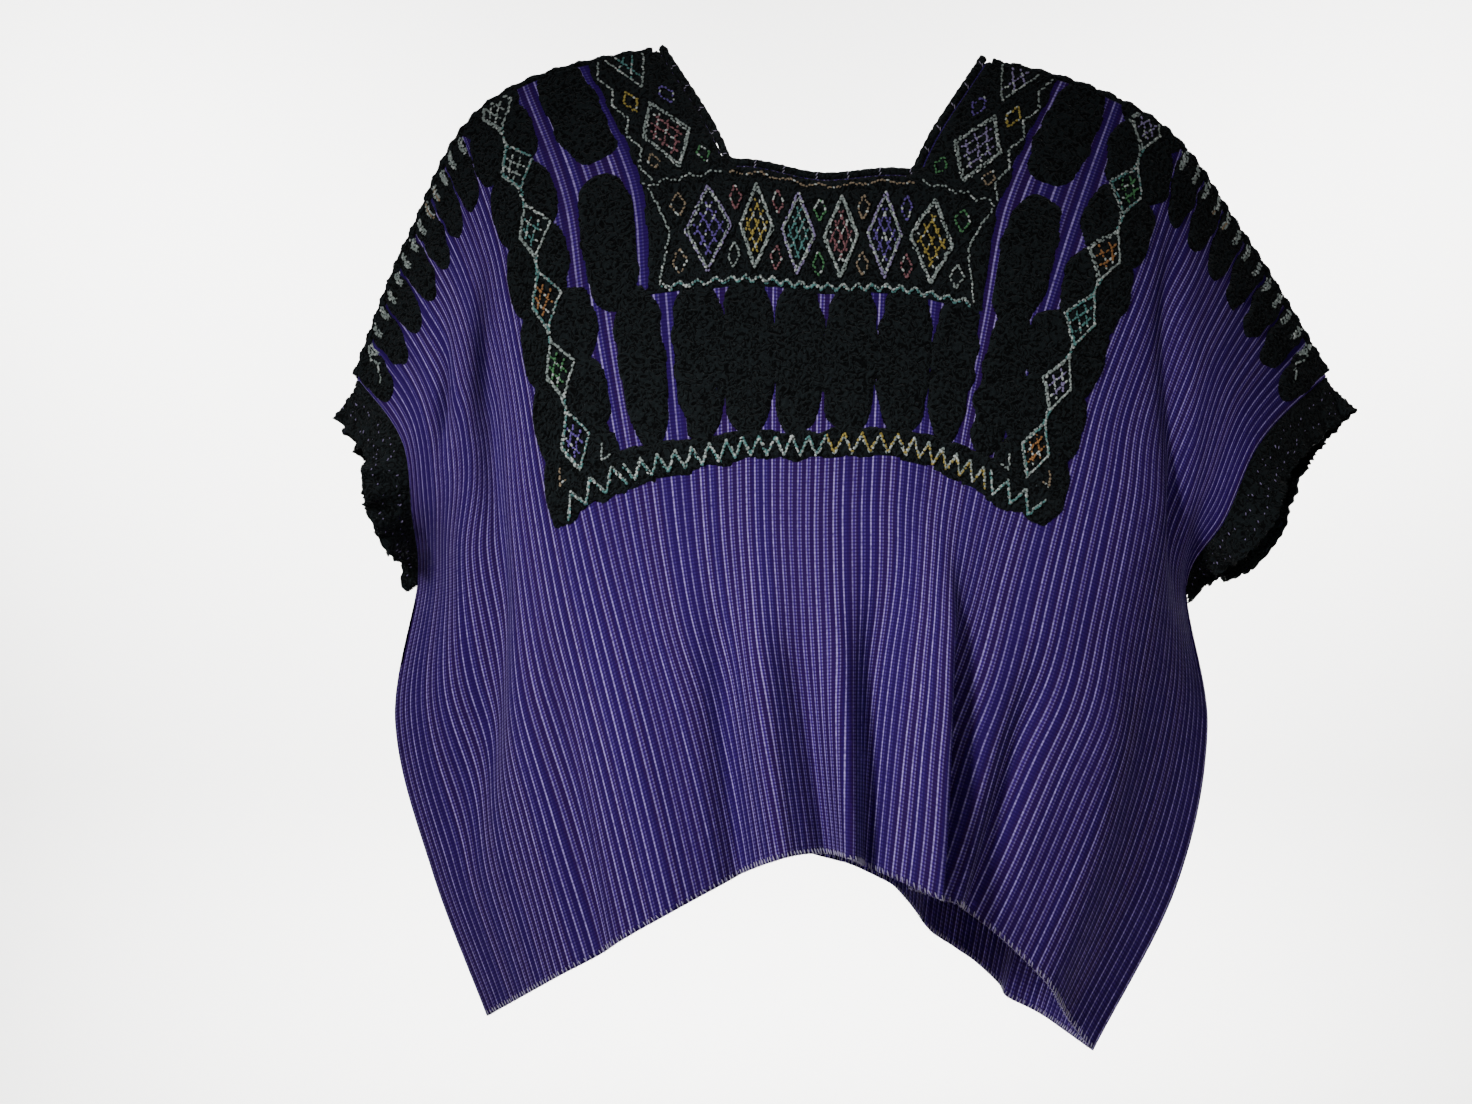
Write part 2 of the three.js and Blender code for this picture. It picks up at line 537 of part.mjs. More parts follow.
// The rolled black edging that lies inside the neck's cut edge, all the way round
function neckEdging(front, back, name) {
  const top = SHOULDER_EDGE * NECK_END_SHARE;
  const drop = NECK_DROP - BINDING_INSET - SHOULDER_EDGE / 2;
  const side = NECK_HALF_WIDTH - BINDING_INSET;
  const stops = [];
  const half = (drape, sign) => {
    for (let k = 0; k <= BINDING_STOPS_DOWN; k += 1) {
      stops.push({ drape, u: -sign * NECK_HALF_WIDTH, v: top + (drop * k) / BINDING_STOPS_DOWN, inward: sign });
    }
    for (let k = 1; k < BINDING_STOPS_ACROSS; k += 1) {
      const u = sign * (-side + (2 * side * k) / BINDING_STOPS_ACROSS);
      stops.push({ drape, u, v: NECK_DROP, inward: 0 });
    }
    for (let k = BINDING_STOPS_DOWN; k >= 0; k -= 1) {
      stops.push({ drape, u: sign * NECK_HALF_WIDTH, v: top + (drop * k) / BINDING_STOPS_DOWN, inward: -sign });
    }
  };
  half(front, 1);
  half(back, -1);
  const path = stops.map(({ drape, u, v, inward }) => {
    const across = drape.at(u + BINDING_REACH, v).sub(drape.at(u - BINDING_REACH, v)).normalize();
    const down = drape.at(u, v + BINDING_REACH).sub(drape.at(u, Math.max(0, v - BINDING_REACH))).normalize();
    const normal = across.clone().cross(down).normalize().multiplyScalar(drape.side);
    const skew = across.dot(down);
    const away = inward === 0
      ? down.addScaledVector(across, -skew).normalize().negate()
      : across.addScaledVector(down, -skew).normalize().multiplyScalar(inward);
    return { point: drape.at(u, v).addScaledVector(away, BINDING_RADIUS + BINDING_GAP), normal };
  });
  const size = path.length;
  const sections = path.map((spot, k) => {
    const run = path[(k + 1) % size].point.clone().sub(path[(k + size - 1) % size].point).normalize();
    const normal = spot.normal.clone().addScaledVector(run, -spot.normal.dot(run)).normalize();
    const sideways = run.clone().cross(normal);
    return Array.from({ length: BINDING_SIDES }, (_, n) => {
      const angle = (2 * Math.PI * n) / BINDING_SIDES;
      return spot.point.clone().addScaledVector(normal, BINDING_RADIUS * Math.sin(angle))
        .addScaledVector(sideways, BINDING_RADIUS * Math.cos(angle));
    });
  });
  return sweep(sections, true, name);
}

const front = new Drape(-1, FRONT_SECTIONS, FRONT_FOLDS);
const back = new Drape(1, BACK_SECTIONS, BACK_FOLDS);
const huipil = new THREE.Group();
huipil.name = 'huipil';
const frontGrid = wallGrid(front);
const backGrid = wallGrid(back);
huipil.add(
  panelWall(frontGrid, front.side, 'front_panel'),
  panelWall(backGrid, back.side, 'back_panel'),
  shoulderStrip(frontGrid, backGrid, -1, 'shoulder_seam_left'),
  shoulderStrip(frontGrid, backGrid, 1, 'shoulder_seam_right'),
  sleeveBand(frontGrid, backGrid, -1, 'sleeve_band_left'),
  sleeveBand(frontGrid, backGrid, 1, 'sleeve_band_right'),
  neckEdging(front, back, 'neck_edging'),
);

export default huipil;
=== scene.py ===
"""Huipil: a wide violet blouse with looped black embroidery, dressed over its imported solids.

Every place on the cloth is given on the flat cut, in millimetres: u runs across from the middle line and
v runs down from the shoulder line. Drape turns such a place into a point in space, in metres.
"""
import logging
import math
from dataclasses import dataclass, field
from enum import Enum

import bpy
import numpy as np
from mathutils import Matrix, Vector


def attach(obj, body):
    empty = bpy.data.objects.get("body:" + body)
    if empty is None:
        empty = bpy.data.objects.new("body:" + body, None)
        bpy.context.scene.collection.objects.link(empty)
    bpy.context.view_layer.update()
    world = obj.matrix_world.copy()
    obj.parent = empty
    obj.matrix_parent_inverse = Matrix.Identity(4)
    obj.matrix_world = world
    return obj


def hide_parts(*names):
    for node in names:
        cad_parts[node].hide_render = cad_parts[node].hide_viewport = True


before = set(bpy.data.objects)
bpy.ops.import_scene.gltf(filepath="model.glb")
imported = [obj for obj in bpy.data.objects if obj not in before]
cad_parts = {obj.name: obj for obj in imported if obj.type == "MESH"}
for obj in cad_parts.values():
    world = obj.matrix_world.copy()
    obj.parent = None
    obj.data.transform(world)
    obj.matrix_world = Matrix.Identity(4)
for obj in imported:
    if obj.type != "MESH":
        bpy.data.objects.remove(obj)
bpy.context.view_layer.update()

LOG = logging.getLogger("huipil")
MM = 0.001

# Sizes of the cut, in millimetres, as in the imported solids
HALF_WIDTH = 440.0
PANEL_LENGTH = 640.0
ARMHOLE_DROP = 300.0
NECK_HALF_WIDTH = 72.0
NECK_DROP = 120.0
SHOULDER_EDGE = 7.3
SEAM_GAP = 0.3
HALF_WALL = 0.9
PLUSH_RISE = 2.8
STRIPE_PITCH = 7.5

LINE_U = np.array([-440.0, -310.0, -185.0, -72.0, 0.0, 72.0, 185.0, 310.0, 440.0])
HELD_LINES = [0, 2, 3, 4, 5, 6, 8]
LEVELS = np.array([0.0, 120.0, 210.0, 300.0, 400.0, 520.0, 640.0])

# The place of each line of the cut at each level, from the left seam to the right one, [x, y, z]
SHOULDER_LINE = [[-345, -38, -250], [-304, -24, -142], [-248, -5, -40], [-125, 0, 0], [0, 0, -4],
                 [126, 0, -8], [247, 5, -50], [317, 22, -135], [386, 25, -244]]
FRONT_LEVELS = [
    SHOULDER_LINE,
    [[-305, -88, -300], [-268, -92, -222], [-217, -62, -135], [-73, -58, -99], [-3, -62, -109],
     [69, -58, -107], [211, -60, -153], [271, -58, -209], [319, -60, -299]],
    [[-300, -72, -353], [-257, -100, -309], [-200, -90, -219], [-71, -90, -191], [-6, -92, -196],
     [62, -90, -199], [178, -90, -231], [256, -82, -285], [292, -62, -357]],
    [[-303, 0, -404], [-244, -98, -380], [-179, -108, -305], [-70, -110, -282], [-9, -112, -281],
     [57, -110, -280], [147, -108, -311], [240, -90, -357], [273, 0, -407]],
    [[-320, 0, -506], [-226, -100, -463], [-156, -118, -400], [-67, -122, -377], [-11, -124, -375],
     [50, -122, -375], [119, -118, -400], [206, -98, -440], [289, 0, -511]],
    [[-292, 0, -620], [-200, -105, -567], [-125, -125, -513], [-53, -130, -486], [-5, -132, -485],
     [39, -130, -485], [93, -125, -510], [160, -102, -543], [266, 0, -630]],
    [[-251, 0, -728], [-174, -108, -673], [-97, -130, -627], [-34, -136, -596], [4, -138, -593],
     [30, -138, -602], [69, -132, -621], [117, -105, -647], [203, 0, -754]],
]
BACK_LEVELS = [
    SHOULDER_LINE,
    [[-332, 52, -305], [-318, 62, -225], [-232, 72, -135], [-72, 60, -104], [-2, 64, -112], [70, 60, -110],
     [226, 72, -148], [316, 78, -214], [350, 62, -296]],
    [[-311, 52, -356], [-290, 100, -305], [-205, 100, -222], [-68, 96, -196], [-4, 98, -199],
     [60, 96, -201], [190, 100, -236], [276, 104, -300], [320, 71, -368]],
    [[-303, 0, -404], [-252, 104, -384], [-180, 114, -312], [-68, 118, -287], [-4, 119, -286],
     [62, 118, -288], [160, 114, -320], [240, 104, -378], [273, 0, -407]],
    [[-320, 0, -506], [-230, 110, -470], [-156, 122, -408], [-62, 126, -386], [-2, 127, -386],
     [60, 126, -389], [136, 122, -422], [214, 108, -470], [289, 0, -511]],
    [[-292, 0, -620], [-202, 112, -582], [-128, 126, -525], [-52, 130, -502], [4, 131, -503],
     [60, 130, -510], [126, 124, -545], [190, 106, -590], [266, 0, -630]],
    [[-251, 0, -728], [-178, 112, -692], [-106, 128, -642], [-40, 134, -618], [10, 136, -622],
     [58, 134, -646], [104, 128, -690], [158, 108, -730], [203, 0, -754]],
]


@dataclass(frozen=True)
class Fold:
    """A soft crest or trough that runs on the cut through three points and grows towards the last one."""

    start: tuple[float, float]
    via: tuple[float, float]
    end: tuple[float, float]
    width: float
    rise: float
    lean: float = 0.0

    def path(self, segments: int = 10) -> np.ndarray:
        """Draw the fold's line on the cut.

        Args:
            segments: how many straight parts it is drawn with.

        Returns:
            The points along it, in millimetres.
        """
        t = np.linspace(0.0, 1.0, segments + 1)[:, None]
        first, middle, last = (np.array(p) for p in (self.start, self.via, self.end))
        return (1 - t) * (1 - 2 * t) * first + 4 * t * (1 - t) * middle + t * (2 * t - 1) * last


FRONT_FOLDS = [
    Fold((-232, 110), (-300, 300), (-420, 560), 26, -20),
    Fold((-300, 60), (-330, 120), (-356, 200), 20, -11),
    Fold((-245, 380), (-275, 500), (-300, 660), 24, -13),
    Fold((-205, 420), (-205, 540), (-205, 660), 26, 10),
    Fold((-85, 420), (-105, 530), (-128, 660), 22, -19),
    Fold((-50, 400), (-60, 520), (-68, 660), 20, 15),
    Fold((-25, 440), (-15, 540), (-8, 660), 18, -16),
    Fold((15, 420), (25, 530), (32, 660), 18, 14),
    Fold((50, 390), (62, 520), (72, 660), 20, -20),
    Fold((96, 360), (120, 500), (138, 670), 30, 26, 26),
    Fold((150, 420), (180, 540), (204, 670), 24, -24, -8),
    Fold((248, 420), (272, 520), (300, 670), 24, -18),
    Fold((300, 390), (350, 500), (372, 670), 26, 14),
    Fold((240, 40), (292, 190), (400, 350), 20, -15),
]
BACK_FOLDS = [
    Fold((-240, 90), (-310, 250), (-400, 420), 24, -16),
    Fold((-290, 360), (-300, 500), (-310, 660), 28, -14),
    Fold((-220, 380), (-225, 520), (-225, 660), 26, 12),
    Fold((-130, 340), (-140, 500), (-145, 660), 26, -18),
    Fold((-70, 400), (-72, 520), (-72, 660), 24, 13),
    Fold((5, 360), (0, 500), (-5, 660), 24, -16),
    Fold((70, 400), (74, 520), (78, 660), 24, 15),
    Fold((140, 330), (146, 500), (150, 660), 26, -19),
    Fold((215, 390), (224, 520), (230, 660), 26, 14),
    Fold((280, 350), (300, 500), (314, 660), 28, -15),
    Fold((250, 60), (310, 230), (405, 400), 24, -16),
]
FOLD_LEAD = 110.0
SEAM_FADE = 50.0
TABLE_STEP = 2.0


def smooth(low: float, high: float, value: np.ndarray) -> np.ndarray:
    """Rise softly from 0 to 1 between two values.

    Args:
        low: where the rise starts.
        high: where it ends.
        value: the values to read.

    Returns:
        The share, from 0 to 1.
    """
    s = np.clip((value - low) / (high - low), 0.0, 1.0)
    return s * s * (3.0 - 2.0 * s)


def station_weights(stations: np.ndarray, places: np.ndarray) -> np.ndarray:
    """Weigh the stations of a smooth curve for each place along it.

    Args:
        stations: the rising places that the curve's values are given at.
        places: the places to read the curve at.

    Returns:
        One row of weights for each place.
    """
    count = len(stations)
    weights = np.zeros((len(places), count))
    rows = np.arange(len(places))
    i = np.clip(np.searchsorted(stations, places, side="left") - 1, 0, count - 2)
    span = stations[i + 1] - stations[i]
    s = (places - stations[i]) / span
    np.add.at(weights, (rows, i), 2 * s**3 - 3 * s**2 + 1)
    np.add.at(weights, (rows, i + 1), -2 * s**3 + 3 * s**2)
    for end, share in ((i, s**3 - 2 * s**2 + s), (i + 1, s**3 - s**2)):
        before = np.maximum(0, end - 1)
        after = np.minimum(count - 1, end + 1)
        slope = share * span / (stations[after] - stations[before])
        np.add.at(weights, (rows, after), slope)
        np.add.at(weights, (rows, before), -slope)
    return weights


class Drape:
    """A panel's middle surface: places on the cut turned into points in space."""

    def __init__(self, side: int, levels: list, folds: list[Fold]) -> None:
        """Fill the table of the surface.

        Args:
            side: -1 for the front and 1 for the back.
            levels: the place of each line at each level, in millimetres.
            folds: the panel's folds.
        """
        self.side = side
        self.net = np.array(levels, dtype=float)
        self.folds = folds
        self.us = np.arange(-HALF_WIDTH, HALF_WIDTH + 0.1, TABLE_STEP)
        self.vs = np.arange(0.0, PANEL_LENGTH + 0.1, TABLE_STEP)
        self.points = self._table()
        across = np.gradient(self.points, axis=0)
        down = np.gradient(self.points, axis=1)
        normal = np.cross(across, down) * side
        self.normals = normal / np.linalg.norm(normal, axis=2, keepdims=True)

    def _form(self, t: np.ndarray, v: np.ndarray) -> np.ndarray:
        """Work out the form without its folds.

        Args:
            t: the columns, in millimetres across the cut.
            v: the rows, in millimetres down the cut.

        Returns:
            A point in millimetres for every crossing of a column and a row.
        """
        rows = station_weights(LEVELS, v)
        columns = station_weights(LINE_U, t)
        return np.einsum("vl,lkc,tk->tvc", rows, self.net, columns)

    def _fold_at(self, t: np.ndarray, v: np.ndarray) -> tuple[np.ndarray, np.ndarray]:
        """Add up the folds.

        Args:
            t: across the cut, in millimetres.
            v: down the cut, in an array of the same shape.

        Returns:
            How far the folds stand out at each place, and how far they lean across.
        """
        rise = np.zeros_like(t)
        lean = np.zeros_like(t)
        for fold in self.folds:
            path = fold.path()
            length = fold.end[1] - fold.start[1]
            best = np.full_like(t, np.inf)
            along = np.zeros_like(t)
            for k in range(len(path) - 1):
                step = path[k + 1] - path[k]
                s = ((t - path[k][0]) * step[0] + (v - path[k][1]) * step[1]) / (step @ step)
                s = np.clip(s, 0.0, 1.0)
                away = np.hypot(t - path[k][0] - s * step[0], v - path[k][1] - s * step[1])
                nearer = away < best
                best = np.where(nearer, away, best)
                along = np.where(nearer, (k + s) / (len(path) - 1), along)
            crest = np.where(best > 3 * fold.width, 0.0, np.exp(-((best / fold.width) ** 2)))
            growth = smooth(0.0, 1.0, along) * 0.45 + smooth(0.0, FOLD_LEAD, along * length) * 0.55
            if fold.end[1] <= PANEL_LENGTH:
                growth = growth * smooth(0.0, 0.25, 1.0 - along)
            rise += fold.rise * crest * growth
            lean += fold.lean * crest * growth
        fade = smooth(0.0, SEAM_FADE, HALF_WIDTH - np.abs(t))
        seam = np.where(v < ARMHOLE_DROP - SEAM_FADE, 1.0, fade)
        return rise * seam, lean * seam

    def _table(self) -> np.ndarray:
        """Fold the form, and space its points evenly between the lines that are held.

        Returns:
            The folded surface at even steps of the cut, in millimetres.
        """
        t = self.us
        form = self._form(t, self.vs)
        across = self._form(t + TABLE_STEP, self.vs) - self._form(t - TABLE_STEP, self.vs)
        down = self._form(t, self.vs + TABLE_STEP) - self._form(t, self.vs - TABLE_STEP)
        normal = np.cross(across, down) * self.side
        normal /= np.linalg.norm(normal, axis=2, keepdims=True)
        across /= np.linalg.norm(across, axis=2, keepdims=True)
        rise, lean = self._fold_at(*np.meshgrid(t, self.vs, indexing="ij"))
        folded = form + normal * rise[..., None] + across * lean[..., None]
        held_u = LINE_U[HELD_LINES]
        table = np.zeros((len(self.us), len(self.vs), 3))
        for j in range(len(self.vs)):
            row = folded[:, j]
            arcs = np.concatenate([[0.0], np.cumsum(np.linalg.norm(np.diff(row, axis=0), axis=1))])
            held_arcs = np.interp(held_u, t, arcs)
            spread = np.interp(np.interp(self.us, held_u, held_arcs), arcs, t)
            for axis in range(3):
                table[:, j, axis] = np.interp(spread, t, row[:, axis])
        return table

    def _read(self, table: np.ndarray, u: np.ndarray, v: np.ndarray) -> np.ndarray:
        """Read a table between its steps.

        Args:
            table: a row of three values for each step across and down.
            u: across the cut, in millimetres.
            v: down the cut, in millimetres.

        Returns:
            The three values at each place.
        """
        x = np.clip((u + HALF_WIDTH) / TABLE_STEP, 0, len(self.us) - 1.001)
        y = np.clip(v / TABLE_STEP, 0, len(self.vs) - 1.001)
        i = x.astype(int)
        j = y.astype(int)
        a = (x - i)[:, None]
        b = (y - j)[:, None]
        near = table[i, j] * (1 - b) + table[i, j + 1] * b
        far = table[i + 1, j] * (1 - b) + table[i + 1, j + 1] * b
        return near * (1 - a) + far * a

    def normal(self, u: np.ndarray, v: np.ndarray) -> np.ndarray:
        """Find the direction out of the cloth.

        Args:
            u: across the cut, in millimetres.
            v: down the cut, in millimetres.

        Returns:
            A direction of length one for each place.
        """
        normal = self._read(self.normals, u, v)
        return normal / np.linalg.norm(normal, axis=1, keepdims=True)

    def place(self, u: np.ndarray, v: np.ndarray, height: np.ndarray | float = 0.0) -> np.ndarray:
        """Turn places on the cut into points, in metres.

        Args:
            u: across the cut, in millimetres.
            v: down the cut, in millimetres.
            height: out from the cloth's middle, in millimetres.

        Returns:
            The points, one a row.
        """
        out = self.normal(u, v) * np.reshape(height, (-1, 1))
        point = self._read(self.points, u, v) + out
        seam = (SEAM_GAP / 2) * self.side
        inside = (v >= ARMHOLE_DROP - 2.0) & (point[:, 1] * self.side < abs(seam))
        point[inside, 1] = seam
        return point * MM


def linear(code: str) -> tuple[float, float, float, float]:
    """Turn an sRGB hex colour into linear light.

    Args:
        code: six hex digits after a hash.

    Returns:
        Linear red, green, blue and alpha.
    """
    parts = [int(code[k:k + 2], 16) / 255.0 for k in (1, 3, 5)]
    light = [c / 12.92 if c <= 0.04045 else ((c + 0.055) / 1.055) ** 2.4 for c in parts]
    return (light[0], light[1], light[2], 1.0)


MATH = "ShaderNodeMath"


def add_node(tree: bpy.types.NodeTree, kind: str, inputs: dict | None = None, **settings) -> bpy.types.Node:
    """Add one node, set its properties and fill its inputs.

    Args:
        tree: the node tree to add to.
        kind: the node's type.
        inputs: for each input, by name or number, a value, an output, or a node whose first output it takes.
        **settings: the node's own properties.

    Returns:
        The new node.
    """
    node = tree.nodes.new(kind)
    for key, value in settings.items():
        setattr(node, key, value)
    for key, value in (inputs or {}).items():
        if isinstance(value, bpy.types.Node):
            value = value.outputs[0]
        if isinstance(value, bpy.types.NodeSocket):
            tree.links.new(value, node.inputs[key])
        else:
            node.inputs[key].default_value = value
    return node


def empty_material(name: str) -> tuple[bpy.types.Material, bpy.types.NodeTree]:
    """Return a new material and its node tree, which has no nodes yet."""
    material = bpy.data.materials.new(name)
    material.use_nodes = True
    material.node_tree.nodes.clear()
    return material, material.node_tree


def build_mesh(name: str, points: np.ndarray, faces: np.ndarray, materials: list,
               cut: np.ndarray | None = None, material_index: np.ndarray | None = None) -> bpy.types.Object:
    """Make an object from points and faces. Corners that no face uses are left out.

    Args:
        name: the object's name.
        points: the corners, in metres.
        faces: rows of three or four corner numbers.
        materials: the object's materials.
        cut: the place of each corner on the cut, in millimetres, kept as a UV map in metres.
        material_index: the material of each face.

    Returns:
        The object, linked to the scene.
    """
    used, inverse = np.unique(faces, return_inverse=True)
    faces = inverse.reshape(faces.shape)
    points = points[used]
    mesh = bpy.data.meshes.new(name)
    corners = faces.shape[1]
    mesh.vertices.add(len(points))
    mesh.vertices.foreach_set("co", points.astype(np.float32).ravel())
    mesh.loops.add(faces.size)
    mesh.loops.foreach_set("vertex_index", faces.astype(np.int32).ravel())
    mesh.polygons.add(len(faces))
    mesh.polygons.foreach_set("loop_start", np.arange(0, faces.size, corners, dtype=np.int32))
    mesh.update(calc_edges=True)
    mesh.polygons.foreach_set("use_smooth", np.ones(len(faces), dtype=bool))
    for material in materials:
        mesh.materials.append(material)
    if material_index is not None:
        mesh.polygons.foreach_set("material_index", material_index.astype(np.int32))
    if cut is not None:
        layer = mesh.uv_layers.new(name="cut")
        layer.data.foreach_set("uv", (cut[used][faces.ravel()] * MM).astype(np.float32).ravel())
    mesh.validate()
    mesh.update()
    made = bpy.data.objects.new(name, mesh)
    bpy.context.scene.collection.objects.link(made)
    return made


def cell_corners(kept: np.ndarray, rows: int, side: int) -> np.ndarray:
    """Number the corners of the kept cells of a grid on the cut.

    Args:
        kept: which cells are kept, columns by rows.
        rows: how many points a column has.
        side: -1 for the front, whose cells turn the other way round, and 1 for the back.

    Returns:
        Rows of four corner numbers, for faces that look out of the cloth.
    """
    i, j = np.nonzero(kept)
    near, far = i * rows + j, (i + 1) * rows + j
    corners = np.stack([near, far, far + 1, near + 1], axis=1)
    return corners[:, ::-1] if side < 0 else corners


class Yarn(Enum):
    """The colours of the sewing's threads, as they look from a few steps away, and a pale painted glint."""

    SILVER = "#A9B6B2"
    TEAL = "#649F9C"
    YELLOW = "#C2AC55"
    ROSE = "#A26C72"
    PURPLE = "#7862BA"
    GREEN = "#5C9A66"
    ORANGE = "#BC8450"
    TAN = "#A8947A"
    LAVENDER = "#A99BCB"
    # Not a thread of its own: a painted glint, the sparkle of the metal wrapping painted on some stitches
    PAINTED_GLINT = "#E4ECE8"


@dataclass(frozen=True)
class WarpLine:
    """One soft-edged line that comes back at every pitch of the warp.

    The middle is a share of the pitch and the width is in millimetres. The gains and bases say how far
    chance, and then the weft's ribs, change its strength.
    """

    middle: float
    width: float
    chance: tuple[float, float]
    weft: tuple[float, float]


# The bright line is beaded where the weft crosses it, and the faint one beside it is broken into dashes
BRIGHT_LINE = WarpLine(0.36, 1.3, (0.5, 0.45), (0.55, 0.6))
FAINT_LINE = WarpLine(0.72, 1.1, (0.5, 0.02), (0.8, 0.15))
HAZE_LINE = WarpLine(0.54, 3.2, (0.7, 0.3), (0.34, 0.06))


@dataclass(frozen=True)
class RibbedCotton:
    """Dyed cotton, woven with fine ribs and pale warp stripes.

    It gives the eye a deep matt violet with hardly any shine, under a broken pale line every 7.5 mm. The real
    ribs are under a millimetre apart. They are drawn 2.6 mm apart, or they would be lost at this distance.
    """

    ground: str = "#2B0A5C"
    plum: str = "#2F0D52"
    stripe: str = "#C9B4FF"
    haze: str = "#6C48DA"
    stripe_pitch: float = STRIPE_PITCH
    rib_pitch: float = 2.6
    wander: float = 2.4
    fleck_share: float = 0.16
    rib_height: float = 0.6
    line_height: float = 0.5
    crumple_height: float = 5.0

    def build(self) -> bpy.types.Material:
        """Build the material, drawn on the cut in millimetres.

        Returns:
            The material.
        """
        material, tree = empty_material("ribbed_violet_cotton")
        cut = add_node(tree, "ShaderNodeUVMap", uv_map="cut")
        place = add_node(tree, "ShaderNodeVectorMath", {0: cut, 1: (1 / MM, 1 / MM, 0.0)},
                         operation="MULTIPLY")
        axes = add_node(tree, "ShaderNodeSeparateXYZ", {0: place})
        u, v = axes.outputs[0], axes.outputs[1]
        # Four soft noises: their grain in millimetres across and down the cut, and their detail
        noises = []
        grains = ((40.0, 300.0, 1.0), (1.5, 0.8, 2.0), (2.6, 3.4, 2.0), (30.0, 50.0, 3.0))
        for grain_u, grain_v, detail in grains:
            grain = add_node(tree, "ShaderNodeVectorMath", {0: place, 1: (1.0 / grain_u, 1.0 / grain_v, 1.0)},
                             operation="MULTIPLY")
            inputs = {"Vector": grain, "Scale": 1.0, "Detail": detail}
            noises.append(add_node(tree, "ShaderNodeTexNoise", inputs))
        drift, fleck, wear, crumple = noises
        # Each stripe wanders a little from its even place
        offset = add_node(tree, MATH, {0: drift, 1: 0.5}, operation="SUBTRACT")
        moved = add_node(tree, MATH, {0: offset, 1: self.wander, 2: u}, operation="MULTIPLY_ADD")
        count = add_node(tree, MATH, {0: moved, 1: self.stripe_pitch}, operation="DIVIDE")
        number = add_node(tree, MATH, {0: count}, operation="FLOOR")
        part = add_node(tree, MATH, {0: count, 1: number}, operation="SUBTRACT")
        luck = add_node(tree, "ShaderNodeTexWhiteNoise", {"W": number}, noise_dimensions="1D")
        shifted = add_node(tree, MATH, {0: number, 1: 0.37}, operation="ADD")
        other_luck = add_node(tree, "ShaderNodeTexWhiteNoise", {"W": shifted}, noise_dimensions="1D")
        # The weft's ribs, from 0 to 1
        turn = add_node(tree, MATH, {0: v, 1: 2.0 * math.pi / self.rib_pitch}, operation="MULTIPLY")
        swing = add_node(tree, MATH, {0: turn}, operation="SINE")
        ribs = add_node(tree, MATH, {0: swing, 1: 0.5, 2: 0.5}, operation="MULTIPLY_ADD")
        lines = []
        for line, chance in ((BRIGHT_LINE, luck), (FAINT_LINE, other_luck), (HAZE_LINE, other_luck)):
            offset = add_node(tree, MATH, {0: part, 1: line.middle}, operation="SUBTRACT")
            away = add_node(tree, MATH, {0: offset}, operation="ABSOLUTE")
            half = 0.5 * line.width / self.stripe_pitch
            strength = add_node(tree, "ShaderNodeMapRange",
                                {0: away, 1: 0.35 * half, 2: 1.3 * half, 3: 1.0, 4: 0.0},
                                interpolation_type="SMOOTHSTEP")
            for source, (gain, base) in ((chance, line.chance), (ribs, line.weft)):
                share = add_node(tree, MATH, {0: source, 1: gain, 2: base}, operation="MULTIPLY_ADD")
                strength = add_node(tree, MATH, {0: strength, 1: share}, operation="MULTIPLY")
            lines.append(strength)
        bright, faint, haze = lines
        tinge = add_node(tree, "ShaderNodeMapRange", {0: other_luck, 1: 0.35, 2: 0.65, 3: 0.0, 4: 1.0},
                         interpolation_type="SMOOTHSTEP")
        flecks = add_node(tree, MATH, {0: fleck, 1: ribs}, operation="MULTIPLY")
        flecks = add_node(tree, MATH, {0: flecks, 1: self.fleck_share}, operation="MULTIPLY")
        worn = add_node(tree, MATH, {0: wear, 1: 2.6, 2: -0.3}, operation="MULTIPLY_ADD")
        worn = add_node(tree, MATH, {0: bright, 1: worn}, operation="MULTIPLY")
        worn = add_node(tree, MATH, {0: worn, 1: faint}, operation="MAXIMUM")
        # Plum stripes in the ground, pale flecks on the ribs, the haze, and the lines on top
        colour = linear(self.ground)
        for share, dye in ((tinge, self.plum), (flecks, self.haze), (haze, self.haze), (worn, self.stripe)):
            colour = add_node(tree, "ShaderNodeMix", {0: share, 6: colour, 7: linear(dye)},
                              data_type="RGBA").outputs[2]
        height = add_node(tree, MATH, {0: bright, 1: self.line_height}, operation="MULTIPLY")
        height = add_node(tree, MATH, {0: ribs, 1: self.rib_height, 2: height}, operation="MULTIPLY_ADD")
        height = add_node(tree, MATH, {0: crumple, 1: self.crumple_height, 2: height},
                          operation="MULTIPLY_ADD")
        bump = add_node(tree, "ShaderNodeBump", {"Height": height, "Strength": 0.55, "Distance": 0.0006})
        surface = add_node(tree, "ShaderNodeBsdfPrincipled",
                           {"Base Color": colour, "Roughness": 0.86, "IOR": 1.45, "Sheen Weight": 0.03,
                            "Sheen Roughness": 0.4, "Specular IOR Level": 0.12, "Normal": bump})
        add_node(tree, "ShaderNodeOutputMaterial", {0: surface})
        return material


